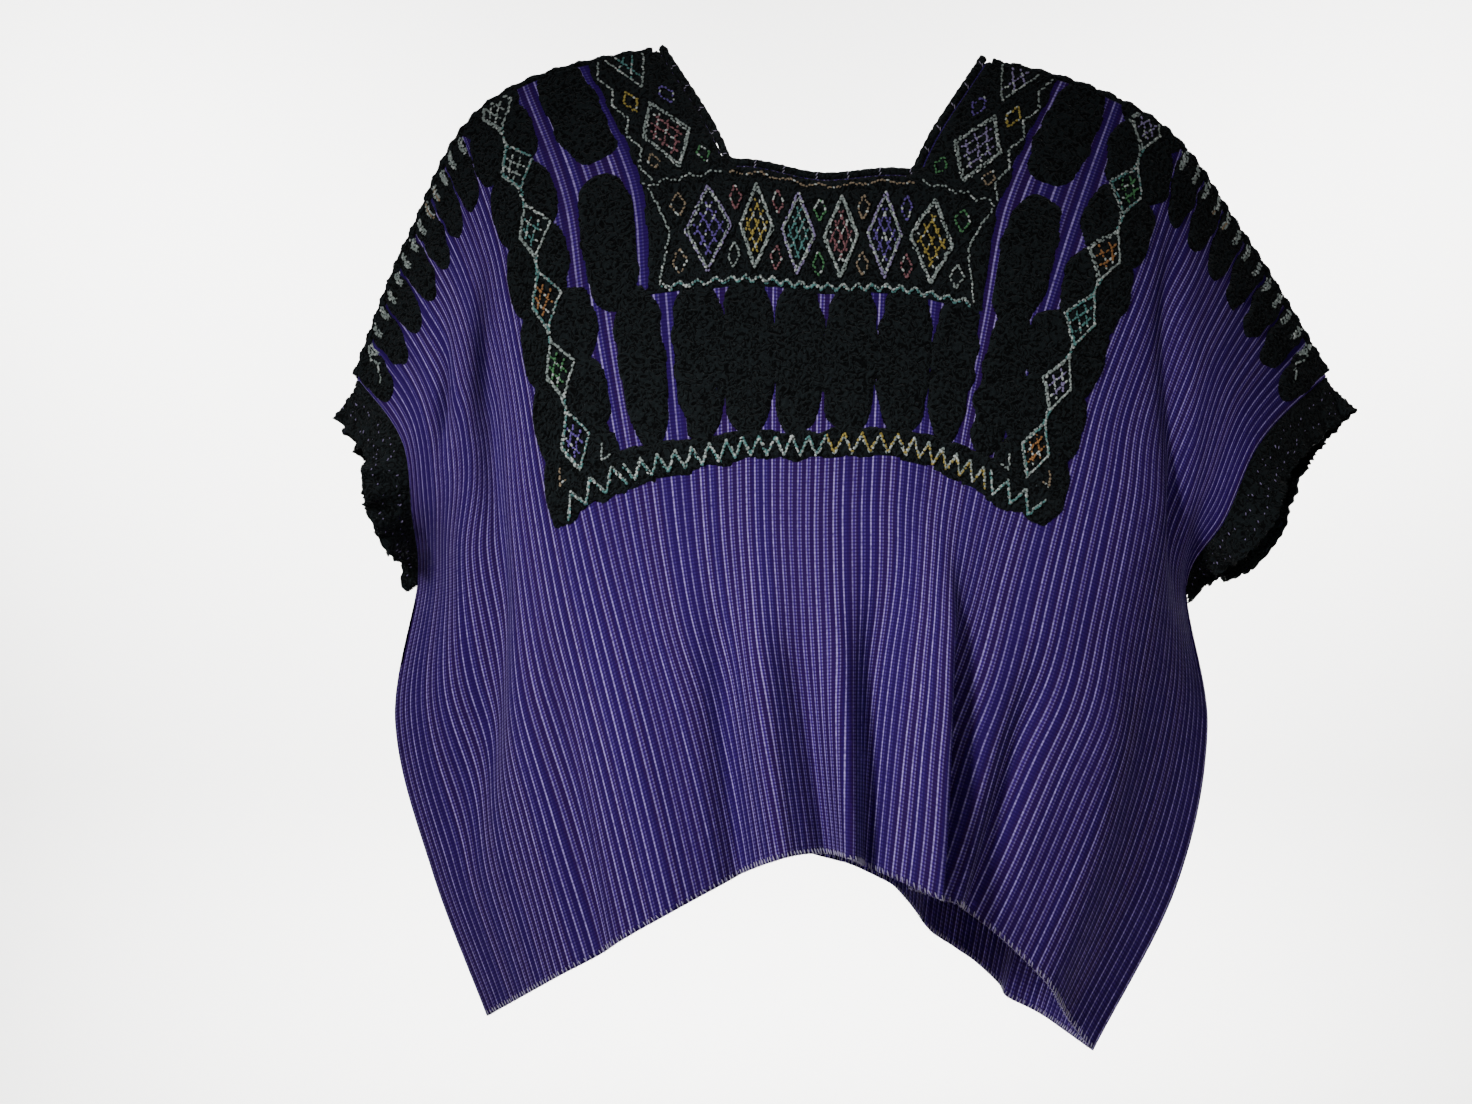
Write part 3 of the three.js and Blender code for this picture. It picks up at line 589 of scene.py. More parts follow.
@dataclass
class ClothPanel:
    """One width of cloth as a thin closed shell with an open neck."""

    drape: Drape
    name: str
    replaced: str
    across_step: float = 4.0
    down_step: float = 5.0

    def grid(self) -> tuple[np.ndarray, np.ndarray]:
        """Return the columns and rows of the shell's grid, in millimetres."""
        us = np.arange(-HALF_WIDTH, HALF_WIDTH + 0.1, self.across_step)
        us[0] += SEAM_GAP
        us[-1] -= SEAM_GAP
        rows = np.arange(2 * self.down_step, PANEL_LENGTH + 0.1, self.down_step)
        return us, np.concatenate([[SHOULDER_EDGE], rows])

    def build(self, material: bpy.types.Material) -> bpy.types.Object:
        """Build the shell, stand it in for its solid and state its cut.

        Args:
            material: the cloth's material.

        Returns:
            The shell.
        """
        us, vs = self.grid()
        u, v = (a.ravel() for a in np.meshgrid(us, vs, indexing="ij"))
        middle_u = (us[:-1] + us[1:]) / 2
        open_cell = (np.abs(middle_u)[:, None] < NECK_HALF_WIDTH) & (vs[1:] <= NECK_DROP + 0.1)[None, :]
        points, faces = self._closed_shell(u, v, len(vs), ~open_cell)
        cut = np.concatenate([np.stack([u, v], axis=1)] * 2)
        made = build_mesh(self.name, points, faces, [material], cut)
        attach(made, "root")
        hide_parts(self.replaced)
        return made

    def _closed_shell(self, u: np.ndarray, v: np.ndarray, rows: int,
                      kept: np.ndarray) -> tuple[np.ndarray, np.ndarray]:
        """Close the kept cells of a grid on the cut into a thin body.

        Args:
            u: across the cut, one value a grid point, column by column.
            v: down the cut, likewise.
            rows: how many points a column has.
            kept: which cells are kept, columns by rows.

        Returns:
            The points, outer then inner, and the four-cornered faces, which face outward.
        """
        points = np.concatenate([self.drape.place(u, v, height) for height in (HALF_WALL, -HALF_WALL)])
        count = len(u)
        corners = cell_corners(kept, rows, self.drape.side)
        edges = np.concatenate([corners[:, [k, (k + 1) % 4]] for k in range(4)])
        codes = edges[:, 0].astype(np.int64) * count + edges[:, 1]
        back = edges[:, 1].astype(np.int64) * count + edges[:, 0]
        rim = edges[~np.isin(codes, back)]
        walls = np.stack([rim[:, 1], rim[:, 0], rim[:, 0] + count, rim[:, 1] + count], axis=1)
        return points, np.concatenate([corners, corners[:, ::-1] + count, walls])


@dataclass(frozen=True)
class Oval:
    """A looped oval on the cut, with straight-ish sides and rounded ends."""

    u: float
    v: float
    half_width: float
    half_height: float
    power: float = 2.7

    def depth(self, u: np.ndarray, v: np.ndarray) -> np.ndarray:
        """Measure about how far inside the oval's edge each place is.

        Args:
            u: across the cut, in millimetres.
            v: down the cut, in millimetres.

        Returns:
            The depths in millimetres, which are below zero outside.
        """
        reach = (np.abs((u - self.u) / self.half_width) ** self.power
                 + np.abs((v - self.v) / self.half_height) ** self.power) ** (1.0 / self.power)
        return (1.0 - reach) * min(self.half_width, self.half_height)


@dataclass(frozen=True)
class Patch:
    """A looped rectangle on the cut."""

    u_low: float
    u_high: float
    v_low: float
    v_high: float

    def depth(self, u: np.ndarray, v: np.ndarray) -> np.ndarray:
        """Return how far inside the patch's edge each place is, in millimetres."""
        across = np.minimum(u - self.u_low, self.u_high - u)
        return np.minimum(across, np.minimum(v - self.v_low, self.v_high - v))


def side_patch(sign: int, near: float, far: float, v_low: float, v_high: float) -> Patch:
    """Return a patch on one side of the middle, from its nearer edge to its farther one."""
    return Patch(min(sign * near, sign * far), max(sign * near, sign * far), v_low, v_high)


ROW_OVALS = [(-128.0, 15.8), (-91.0, 16.8), (-55.0, 21.5), (-14.0, 20.5), (27.0, 21.0), (68.0, 20.5),
             (105.5, 16.8), (143.0, 15.8)]
CHAIN_U = 185.0
CHAIN_DIAMONDS = [16.0, 76.0, 135.0, 190.0, 243.0, 296.0]
CHAIN_LOBES = [-6.0, 46.0, 106.0, 163.0, 217.0, 270.0, 318.0]
# The foot border's lower edge drops in small steps from the middle to the corners
FOOT_STEPS = [(70.0, 337.0), (100.0, 339.5), (130.0, 342.0), (155.0, 344.5)]
SLEEVE_OVALS = [236.0, 266.0, 297.0, 328.0, 359.0, 390.0, 424.0]
BAND_PITCH = 33.5
BAND_MIDDLE = 166.0
NECK_BAND = Patch(-119.0, 119.0, 0.0, 207.0)


def looped_shapes() -> list[Oval | Patch]:
    """Return every looped shape of one panel, on both sides of its middle."""
    shapes: list[Oval | Patch] = [NECK_BAND, Patch(-160.0, 160.0, 314.0, 335.0)]
    shapes += [Oval(u, 258.5, half_width, 58.5) for u, half_width in ROW_OVALS]
    for sign in (-1, 1):
        shapes += [Oval(sign * 139.5, 46.0, 16.5, 52.0), Oval(sign * 141.0, 162.0, 16.0, 54.0)]
        shapes += [side_patch(sign, near, 190.0, 316.0, low) for near, low in FOOT_STEPS]
        for v in CHAIN_LOBES:
            shift, half_width = (8.5, 11.5) if v < 200.0 else (14.0, 17.0)
            shapes.append(Oval(sign * (CHAIN_U - shift), v, half_width, 30.0, 2.3))
            shapes.append(Oval(sign * (CHAIN_U + 18.0), v, 18.5, 30.5, 2.3))
        shapes += [side_patch(sign, 154.0, 212.0, 300.0, 344.0), side_patch(sign, 176.0, 196.0, 0.0, 330.0)]
        shapes += [Oval(sign * u, 26.0, 14.2, 48.0, 2.4) for u in SLEEVE_OVALS]
    return shapes


LOOP_SPACING = 4.2
LOOP_SHARPNESS = 1.5


def loop_noise(shape: tuple[int, int], step: float, wavelength: float, seed: int) -> np.ndarray:
    """Make the winding texture of packed yarn loops.

    Args:
        shape: columns and rows of the grid.
        step: the grid's step, in millimetres.
        wavelength: the spacing of the loops, in millimetres.
        seed: the seed of the noise.

    Returns:
        Even noise about zero, with a spread of one.
    """
    noise = np.random.default_rng(seed).standard_normal(shape)
    across = np.fft.fftfreq(shape[0], step)[:, None]
    down = np.fft.fftfreq(shape[1], step)[None, :]
    radius = np.hypot(across, down) * wavelength
    band = np.exp(-((radius - 1.0) / 0.22) ** 2)
    loops = np.real(np.fft.ifft2(np.fft.fft2(noise) * band))
    return loops / loops.std()


@dataclass(frozen=True)
class LoopedYarn:
    """Dyed black wool, looped and packed close.

    It gives the eye a dull black with nearly no shine. The loops are drawn as the contour lines of a soft
    noise, which wind like packed curls about 2.5 mm across; the grey where a loop turns to the light is a
    painted highlight along their crests. Single fibres are drawn 0.6 mm apart, because finer ones would be
    lost at this distance.
    """

    name: str = "looped_black_wool"
    colour: str = "#050708"
    painted_highlight: str = "#2B3336"
    fibres_per_metre: float = 1600.0
    grains_per_metre: float = 165.0
    contours: float = 30.0

    def build(self) -> bpy.types.Material:
        """Build the material.

        Returns:
            The material.
        """
        material, tree = empty_material(self.name)
        place = add_node(tree, "ShaderNodeTexCoord").outputs["Object"]
        fibre = add_node(tree, "ShaderNodeTexNoise",
                         {"Vector": place, "Scale": self.fibres_per_metre, "Detail": 2.0})
        grain = add_node(tree, "ShaderNodeTexNoise",
                         {"Vector": place, "Scale": self.grains_per_metre, "Detail": 1.0, "Distortion": 0.5})
        waves = add_node(tree, MATH, {0: grain, 1: self.contours}, operation="MULTIPLY")
        curl = add_node(tree, MATH, {0: waves}, operation="SINE")
        curl = add_node(tree, "ShaderNodeMapRange", {0: curl, 1: -1.0, 2: 0.5, 3: 0.0, 4: 1.0},
                        interpolation_type="SMOOTHSTEP")
        # The grey mixed in on the loops' crests is a painted highlight, broken up by the fibres
        painted_highlight_share = add_node(tree, MATH, {0: fibre, 1: curl}, operation="MULTIPLY")
        colour = add_node(tree, "ShaderNodeMix",
                          {0: painted_highlight_share, 6: linear(self.colour), 7: linear(self.painted_highlight)},
                          data_type="RGBA").outputs[2]
        height = add_node(tree, MATH, {0: curl, 1: 3.0, 2: fibre}, operation="MULTIPLY_ADD")
        bump = add_node(tree, "ShaderNodeBump", {"Height": height, "Strength": 0.7, "Distance": 0.0005})
        surface = add_node(tree, "ShaderNodeBsdfPrincipled",
                           {"Base Color": colour, "Roughness": 0.95, "IOR": 1.5, "Specular IOR Level": 0.14,
                            "Sheen Weight": 0.05, "Sheen Roughness": 0.5, "Normal": bump})
        add_node(tree, "ShaderNodeOutputMaterial", {0: surface})
        return material


@dataclass(frozen=True)
class PlainFinish:
    """A finish of one even colour, with no pattern."""

    name: str
    colour: str
    roughness: float
    metallic: float = 0.0

    def build(self) -> bpy.types.Material:
        """Build the material.

        Returns:
            The material.
        """
        material, tree = empty_material(self.name)
        surface = add_node(tree, "ShaderNodeBsdfPrincipled",
                           {"Base Color": linear(self.colour), "Metallic": self.metallic,
                            "Roughness": self.roughness, "IOR": 1.5})
        add_node(tree, "ShaderNodeOutputMaterial", {0: surface})
        return material


# Overcast cotton thread, mercerised and pale: matt and soft, a light edge to the dark cloth
COTTON_THREAD = PlainFinish("pale_cotton_thread", "#C9C0DC", 0.8)
# Uncoated paper: even and matt, so that nothing shows but the blouse
BACKDROP_PAPER = PlainFinish("pale_backdrop_paper", "#F3F2F0", 0.95)


def metallic_thread(yarn: Yarn) -> PlainFinish:
    """Return one colour of metal-wrapped thread, whose wrapping glints a little over a muted core."""
    return PlainFinish(f"metallic_thread_{yarn.name.lower()}", yarn.value, 0.42, 0.2)


Place = tuple[float, float]


@dataclass(frozen=True)
class Run:
    """One line of stitches on the cut."""

    points: tuple[Place, ...]
    yarn: Yarn
    pitch: float = 2.3


def side_line(sign: int, yarn: Yarn, *points: Place, pitch: float = 2.3) -> Run:
    """Return a run through points of one side of the cut, or of the other where the sign is -1."""
    return Run(tuple((sign * u, v) for u, v in points), yarn, pitch)


def diamond(u: float, v: float, half_width: float, half_height: float, yarn: Yarn) -> Run:
    """Return the outline of a diamond on the cut."""
    return Run(((u, v - half_height), (u + half_width, v), (u, v + half_height), (u - half_width, v),
                (u, v - half_height)), yarn)


def lattice(u: float, v: float, half_width: float, half_height: float, yarn: Yarn,
            shares: tuple[float, ...] = (-0.17, 0.17)) -> list[Run]:
    """Fill a diamond with a few lines each way, parallel to its sides.

    Args:
        u: the diamond's middle across the cut.
        v: its middle down the cut.
        half_width: half its width.
        half_height: half its height.
        yarn: the lines' thread.
        shares: where the lines cross the diamond, as shares of its half size.

    Returns:
        The lines.
    """
    runs = []
    reach_u, reach_v = 0.42 * half_width, 0.42 * half_height
    for share in shares:
        for lean in (-1.0, 1.0):
            middle_u = u - lean * half_width * share
            middle_v = v + half_height * share
            runs.append(Run(((middle_u - reach_u * lean, middle_v - reach_v),
                             (middle_u + reach_u * lean, middle_v + reach_v)), yarn))
    return runs


def zigzag(start: Place, end: Place, wave: float, swing: float, yarn: Yarn) -> Run:
    """Make a zigzag from one place to another.

    Args:
        start: where it starts on the cut.
        end: where it ends.
        wave: the length of one tooth pair, in millimetres.
        swing: how far it swings to each side.
        yarn: its thread.

    Returns:
        The run.
    """
    first, last = np.array(start), np.array(end)
    length = float(np.linalg.norm(last - first))
    along = (last - first) / length
    beside = np.array([-along[1], along[0]]) * swing
    count = max(2, round(2 * length / wave))
    points = [first + along * length * k / count + beside * (1 if k % 2 else -1) for k in range(count + 1)]
    return Run(tuple((float(p[0]), float(p[1])) for p in points), yarn)


THREE_LINES = (-0.27, 0.0, 0.27)
BAND_YARNS = [Yarn.PURPLE, Yarn.YELLOW, Yarn.TEAL, Yarn.ROSE, Yarn.PURPLE, Yarn.YELLOW]
UPPER_YARNS = [Yarn.TAN, Yarn.ROSE, Yarn.ROSE, Yarn.GREEN, Yarn.TAN, Yarn.PURPLE, Yarn.GREEN]
LOWER_YARNS = [Yarn.TAN, Yarn.SILVER, Yarn.ROSE, Yarn.GREEN, Yarn.TAN, Yarn.ROSE, Yarn.SILVER]
LEFT_CHAIN_YARNS = [Yarn.SILVER, Yarn.SILVER, Yarn.TEAL, Yarn.ORANGE, Yarn.GREEN, Yarn.PURPLE]
RIGHT_CHAIN_YARNS = [Yarn.LAVENDER, Yarn.GREEN, Yarn.ORANGE, Yarn.TEAL, Yarn.LAVENDER, Yarn.ORANGE]
# Each stretch of the foot border's zigzag: its two ends on the cut and its two threads
FOOT_ZIGZAGS = [
    (-152.0, 331.0, -60.0, 325.0, Yarn.SILVER, Yarn.TEAL),
    (-60.0, 325.0, 10.0, 324.5, Yarn.TEAL, Yarn.SILVER),
    (10.0, 324.5, 80.0, 325.5, Yarn.YELLOW, Yarn.SILVER),
    (80.0, 325.5, 152.0, 331.0, Yarn.SILVER, Yarn.YELLOW),
]


def neck_runs() -> list[Run]:
    """Return the lines of metallic stitches across the neck band."""
    runs = []
    for k, yarn in enumerate(BAND_YARNS):
        u = (k - 2.5) * BAND_PITCH
        runs.append(diamond(u, BAND_MIDDLE, 13.4, 31.0, Yarn.SILVER if k % 2 else Yarn.LAVENDER))
        runs.append(diamond(u, BAND_MIDDLE, 12.2, 28.5, Yarn.SILVER))
        runs += lattice(u, BAND_MIDDLE, 12.0, 27.5, yarn, THREE_LINES)
    for k, (upper, lower) in enumerate(zip(UPPER_YARNS, LOWER_YARNS)):
        u = (k - 3) * BAND_PITCH
        runs.append(diamond(u, BAND_MIDDLE - 20.0, 4.5, 9.0, upper))
        runs.append(diamond(u, BAND_MIDDLE + 21.0, 4.5, 9.0, lower))
    runs.append(zigzag((-112.0, 203.5), (112.0, 203.5), 11.0, 2.3, Yarn.SILVER))
    runs.append(zigzag((-112.0, 204.6), (112.0, 204.6), 11.0, 2.3, Yarn.TEAL))
    runs.append(zigzag((-70.0, 127.0), (70.0, 127.0), 24.0, 1.5, Yarn.TAN))
    return runs


def strap_runs(sign: int, half: Yarn, big: Yarn) -> list[Run]:
    """Return the lines on one strap.

    Args:
        sign: -1 for the left strap and 1 for the right one.
        half: the thread inside the half diamond at its top.
        big: the thread inside its big diamond.

    Returns:
        The lines, from the neck band's end to the strap's small diamonds.
    """
    middle = sign * 96.0
    return [
        side_line(sign, Yarn.SILVER, (116.0, 130.0), (106.0, 166.0), (113.0, 203.0)),
        zigzag((sign * 115.0, 10.0), (sign * 115.0, 124.0), 30.0, 2.5, Yarn.SILVER),
        zigzag((sign * 118.0, 127.0), (sign * 74.0, 124.0), 12.0, 2.2, Yarn.SILVER),
        side_line(sign, Yarn.SILVER, (108.0, 9.0), (95.0, 40.0), (83.0, 9.0)),
        side_line(sign, half, (101.0, 9.0), (91.0, 31.0)),
        side_line(sign, half, (90.0, 9.0), (99.0, 31.0)),
        side_line(sign, half, (95.0, 9.0), (103.0, 21.0)),
        diamond(sign * 106.0, 52.0, 4.2, 10.0, Yarn.YELLOW),
        diamond(sign * 84.0, 50.0, 4.2, 9.0, Yarn.PURPLE),
        diamond(middle, 86.0, 13.5, 31.0, Yarn.SILVER),
        diamond(middle, 86.0, 12.3, 28.5, Yarn.SILVER),
        *lattice(middle, 86.0, 12.0, 27.0, big, THREE_LINES),
        diamond(sign * 109.0, 108.0, 3.6, 7.0, Yarn.TAN),
        diamond(sign * 81.0, 108.0, 3.6, 7.0, Yarn.GREEN),
    ]


def foot_runs() -> list[Run]:
    """Return the zigzags and the small corner marks along the foot border."""
    runs = []
    for start, start_v, end, end_v, yarn, second in FOOT_ZIGZAGS:
        runs.append(zigzag((start, start_v), (end, end_v), 13.5, 7.0, yarn))
        runs.append(zigzag((start, start_v + 1.7), (end, end_v + 1.7), 13.5, 6.6, second))
    for sign in (-1, 1):
        runs.append(zigzag((sign * 152.0, 331.0), (sign * 205.0, 336.0), 17.0, 8.0, Yarn.SILVER))
        runs.append(zigzag((sign * 152.0, 332.5), (sign * 205.0, 337.5), 17.0, 7.6, Yarn.TEAL))
        runs.append(side_line(sign, Yarn.TAN, (202.0, 306.0), (206.0, 318.0), (199.0, 317.0)))
        runs.append(side_line(sign, Yarn.SILVER, (165.0, 306.0), (168.0, 318.0), (160.0, 316.0)))
    return runs


def chain_runs() -> list[Run]:
    """Return the chains of lattice diamonds down both sides of the yoke."""
    runs = []
    for sign, yarns in ((-1, LEFT_CHAIN_YARNS), (1, RIGHT_CHAIN_YARNS)):
        u = sign * CHAIN_U
        for k, v in enumerate(CHAIN_DIAMONDS):
            runs.append(diamond(u, v, 12.5, 22.0, Yarn.SILVER))
            runs.append(diamond(u + 0.8, v, 12.0, 21.0, Yarn.TEAL if k % 2 else Yarn.SILVER))
            runs += lattice(u, v, 11.0, 19.0, yarns[k])
            for following in CHAIN_DIAMONDS[k + 1:k + 2]:
                runs.append(side_line(1, Yarn.SILVER, (u - 1.2, v + 20.0), (u + 1.2, following - 20.0)))
                runs.append(side_line(1, Yarn.TEAL, (u + 1.6, v + 20.0), (u - 1.2, following - 20.0)))
    return runs


def sleeve_runs() -> list[Run]:
    """Return the bars of stitches on the sleeves' looped ovals."""
    runs = []
    for sign in (-1, 1):
        for k in range(13):
            for beside in (-1.6, 0.0, 1.6):
                u = 224.0 + 15.5 * k + beside
                yarn = Yarn.TAN if k in (3, 4) and beside == 0.0 else Yarn.SILVER
                foot = 27.0 - abs(beside)
                runs.append(side_line(sign, yarn, (u, 8.0), (u + 2.0, 16.0), (u, foot), pitch=1.9))
        runs.append(side_line(sign, Yarn.SILVER, (410.0, 9.0), (417.0, 24.0), (413.0, 38.0), (424.0, 52.0)))
    return runs


def panel_runs() -> list[Run]:
    """Return every line of metallic stitches of one panel, in the order they are sewn."""
    straps = strap_runs(-1, Yarn.TEAL, Yarn.ROSE) + strap_runs(1, Yarn.LAVENDER, Yarn.LAVENDER)
    return neck_runs() + straps + foot_runs() + chain_runs() + sleeve_runs()


@dataclass
class Embroidery:
    """The looped shapes of one panel and the metallic stitches on them."""

    drape: Drape
    side: str
    seed: int
    step: float = 1.25
    foot: float = 348.0
    loop_wavelength: float = 4.3
    edge_round: float = 3.5
    wobble_wavelength: float = 26.0
    wobble: float = 0.8
    corner_fill: float = 9.0
    shown_depth: float = -0.6
    yoke_edge: float = 226.0
    sleeve_foot: float = 80.0
    place_slip: float = 0.28
    turn_slip: float = 0.3
    # The share of stitches that take the painted glint colour, a painted highlight for the metal's sparkle
    painted_glint_share: float = 0.2
    depth: np.ndarray = field(init=False)
    heights: np.ndarray = field(init=False)

    def __post_init__(self) -> None:
        """Work out the height of the loops over the whole yoke and the sleeves."""
        self.us = np.arange(-HALF_WIDTH + 1.0, HALF_WIDTH - 0.9, self.step)
        self.vs = np.arange(SHOULDER_EDGE + 0.4, self.foot, self.step)
        u, v = np.meshgrid(self.us, self.vs, indexing="ij")
        wobbles = [loop_noise(u.shape, self.step, self.wobble_wavelength, self.seed + k) * self.wobble
                   for k in (1, 2)]
        depth = np.full_like(u, -99.0)
        for shape in looped_shapes():
            depth = np.maximum(depth, shape.depth(u + wobbles[0], v + wobbles[1]))
        in_neck = np.minimum(NECK_HALF_WIDTH + 0.4 - np.abs(u), NECK_DROP + 0.4 - v)
        # The loops fill the small triangle that the edging leaves at each corner of the neck
        corner = (NECK_HALF_WIDTH - np.abs(u)) + (NECK_DROP - v) - self.corner_fill
        self.depth = np.minimum(depth, -np.minimum(in_neck, corner / 1.4))
        share = np.clip(self.depth / self.edge_round, 0.0, 1.0)
        pile = np.sqrt(np.maximum(0.0, 1.0 - (1.0 - share) ** 2))
        loops = np.tanh(LOOP_SHARPNESS * loop_noise(u.shape, self.step, self.loop_wavelength, self.seed))
        band = np.clip(NECK_BAND.depth(u, v) / 3.0, 0.0, 1.0)
        loops = loops * (1.0 - 0.7 * band) + self._cords(u, v) * band
        self.heights = HALF_WALL - 0.5 + pile * (PLUSH_RISE + 0.2 + 1.0 * loops)

    def _cords(self, u: np.ndarray, v: np.ndarray) -> np.ndarray:
        """Lay the black cords beside the diamonds of the neck band and the straps.

        Args:
            u: across the cut, in millimetres.
            v: down the cut, in millimetres.

        Returns:
            Their rise at each place, from -0.9 to 0.9.
        """
        from_middle = np.abs((u + 2.5 * BAND_PITCH) % BAND_PITCH)
        across = np.minimum(from_middle, BAND_PITCH - from_middle) / (BAND_PITCH / 2)
        ring = across + np.abs(v - BAND_MIDDLE) / 40.0
        strap = np.abs(np.abs(u) - 96.0) / 18.0 + np.abs((v - 86.0 + 36.0) % 78.0 - 36.0) / 38.0
        level = np.where(v > 126.0, ring, strap)
        return 0.9 * np.cos(2 * math.pi * (level - 1.0) / 0.24)

    def build_loops(self, material: bpy.types.Material) -> list[bpy.types.Object]:
        """Build the looped shapes of the yoke and of both sleeves as one skin each.

        Args:
            material: the looped yarn.

        Returns:
            The skins.
        """
        made = []
        u, v = (a.ravel() for a in np.meshgrid(self.us, self.vs, indexing="ij"))
        points = self.drape.place(u, v, self.heights.ravel())
        shown = self.depth > self.shown_depth
        cells = shown[:-1, :-1] | shown[1:, :-1] | shown[:-1, 1:] | shown[1:, 1:]
        left = self.us[:-1]
        on_sleeve = (np.abs(left) >= self.yoke_edge)[:, None] & (self.vs[:-1] < self.sleeve_foot)[None, :]
        on_yoke = ((left >= -self.yoke_edge) & (left < self.yoke_edge))[:, None]
        parts = {"yoke": on_yoke, "sleeve_left": on_sleeve & (left < 0.0)[:, None],
                 "sleeve_right": on_sleeve & (left > 0.0)[:, None]}
        for name, inside in parts.items():
            corners = cell_corners(cells & inside, len(self.vs), self.drape.side)
            piece = build_mesh(f"{self.side}_{name}_loops", points, corners, [material])
            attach(piece, "root")
            made.append(piece)
        return made

    def height_at(self, u: np.ndarray, v: np.ndarray) -> np.ndarray:
        """Read how high the loops stand.

        Args:
            u: across the cut, in millimetres.
            v: down the cut, in millimetres.

        Returns:
            The heights above the cloth's middle, in millimetres.
        """
        i = np.clip(np.rint((u - self.us[0]) / self.step).astype(int), 0, len(self.us) - 1)
        j = np.clip(np.rint((v - self.vs[0]) / self.step).astype(int), 0, len(self.vs) - 1)
        return self.heights[i, j]

    def build_stitches(self, threads: dict[Yarn, bpy.types.Material]) -> bpy.types.Object:
        """Sew every line of metallic stitches on top of the loops.

        Args:
            threads: the material of each thread.

        Returns:
            All the stitches of the panel as one mesh.
        """
        order = list(threads)
        rng = np.random.default_rng(self.seed + 7)
        places, turns, colours = [], [], []
        for run in panel_runs():
            path = np.array(run.points)
            for first, last in zip(path[:-1], path[1:]):
                length = float(np.linalg.norm(last - first))
                count = max(1, round(length / run.pitch))
                share = (np.arange(count) + 0.5)[:, None] / count
                places.append(first + (last - first) * share + rng.normal(0.0, self.place_slip, (count, 2)))
                turn = math.atan2(last[1] - first[1], last[0] - first[0])
                turns.append(turn + rng.normal(0.0, self.turn_slip, count))
                # Some stitches are painted with the pale glint colour instead of their thread's: painted
                # highlights for the metal's sparkle
                glints = rng.random(count) < self.painted_glint_share
                colours.append(np.where(glints, order.index(Yarn.PAINTED_GLINT), order.index(run.yarn)))
        place = np.concatenate(places)
        turn = np.concatenate(turns)
        colour = np.concatenate(colours)
        kept = (place[:, 1] > SHOULDER_EDGE + 1.0) & (np.abs(place[:, 0]) < HALF_WIDTH - 2.0)
        place, turn, colour = place[kept], turn[kept], colour[kept]
        sizes = np.stack([rng.uniform(1.2, 1.8, len(place)), rng.uniform(0.75, 1.1, len(place)),
                          np.full(len(place), 0.6)], axis=1)
        height = self.height_at(place[:, 0], place[:, 1]) + 0.35
        made = build_grains(f"{self.side}_metallic_stitches", self.drape, place, turn, sizes, height,
                            [threads[yarn] for yarn in order], colour)
        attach(made, "root")
        return made


def grain_shape() -> tuple[np.ndarray, np.ndarray]:
    """Return a ball of twelve points and twenty faces, which a stitch is stretched from."""
    ratio = (1.0 + math.sqrt(5.0)) / 2.0
    points = np.array([(-1, ratio, 0), (1, ratio, 0), (-1, -ratio, 0), (1, -ratio, 0), (0, -1, ratio),
                       (0, 1, ratio), (0, -1, -ratio), (0, 1, -ratio), (ratio, 0, -1), (ratio, 0, 1),
                       (-ratio, 0, -1), (-ratio, 0, 1)], dtype=float)
    faces = np.array([(0, 11, 5), (0, 5, 1), (0, 1, 7), (0, 7, 10), (0, 10, 11), (1, 5, 9), (5, 11, 4),
                      (11, 10, 2), (10, 7, 6), (7, 1, 8), (3, 9, 4), (3, 4, 2), (3, 2, 6), (3, 6, 8),
                      (3, 8, 9), (4, 9, 5), (2, 4, 11), (6, 2, 10), (8, 6, 7), (9, 8, 1)])
    return points / np.linalg.norm(points[0]), faces


def build_grains(name: str, drape: Drape, place: np.ndarray, turn: np.ndarray, sizes: np.ndarray,
                 height: np.ndarray, materials: list, colour: np.ndarray) -> bpy.types.Object:
    """Lay many small stitches on the cut.

    Args:
        name: the object's name.
        drape: the panel they lie on.
        place: where each lies, in millimetres on the cut.
        turn: how each is turned on the cut, in radians.
        sizes: each one's half length, half width and half thickness, in millimetres.
        height: how high each lies above the cloth's middle.
        materials: the materials they use.
        colour: the number of each one's material.

    Returns:
        All of them as one mesh.
    """
    ball, ball_faces = grain_shape()
    middle = drape.place(place[:, 0], place[:, 1], height)
    ahead = np.stack([np.cos(turn), np.sin(turn)], axis=1)
    further = drape.place(place[:, 0] + ahead[:, 0], place[:, 1] + ahead[:, 1], height)
    along = further - middle
    along /= np.maximum(np.linalg.norm(along, axis=1, keepdims=True), 1e-9)
    up = drape.normal(place[:, 0], place[:, 1])
    beside = np.cross(up, along)
    beside /= np.linalg.norm(beside, axis=1, keepdims=True)
    frame_axes = np.stack([along, beside, up], axis=1)
    scaled = ball[None, :, :] * sizes[:, None, :] * MM
    points = middle[:, None, :] + np.einsum("nka,nac->nkc", scaled, frame_axes)
    faces = ball_faces[None, :, :] + (np.arange(len(place)) * len(ball))[:, None, None]
    return build_mesh(name, points.reshape(-1, 3), faces.reshape(-1, 3), materials,
                      material_index=np.repeat(colour, len(ball_faces)))


def sew_grains(name: str, grains: list[tuple], material: bpy.types.Material) -> bpy.types.Object:
    """Make one mesh of stitches that are each placed and turned in space.

    Args:
        name: the object's name.
        grains: each one's middle and half sizes, both in metres, and its three axes as rows.
        material: their thread.

    Returns:
        All of them as one mesh.
    """
    ball, ball_faces = grain_shape()
    points = [middle + (ball * size) @ axes for middle, size, axes in grains]
    faces = [ball_faces + k * len(ball) for k in range(len(grains))]
    made = build_mesh(name, np.concatenate(points), np.concatenate(faces), [material])
    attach(made, "root")
    return made


def unit(rows: np.ndarray) -> np.ndarray:
    """Return each row at length one."""
    return rows / np.maximum(np.linalg.norm(rows, axis=-1, keepdims=True), 1e-9)


def across_run(rows: np.ndarray, run: np.ndarray) -> np.ndarray:
    """Return each row's direction without its part along the run, at length one."""
    return unit(rows - run * np.sum(rows * run, axis=-1, keepdims=True))


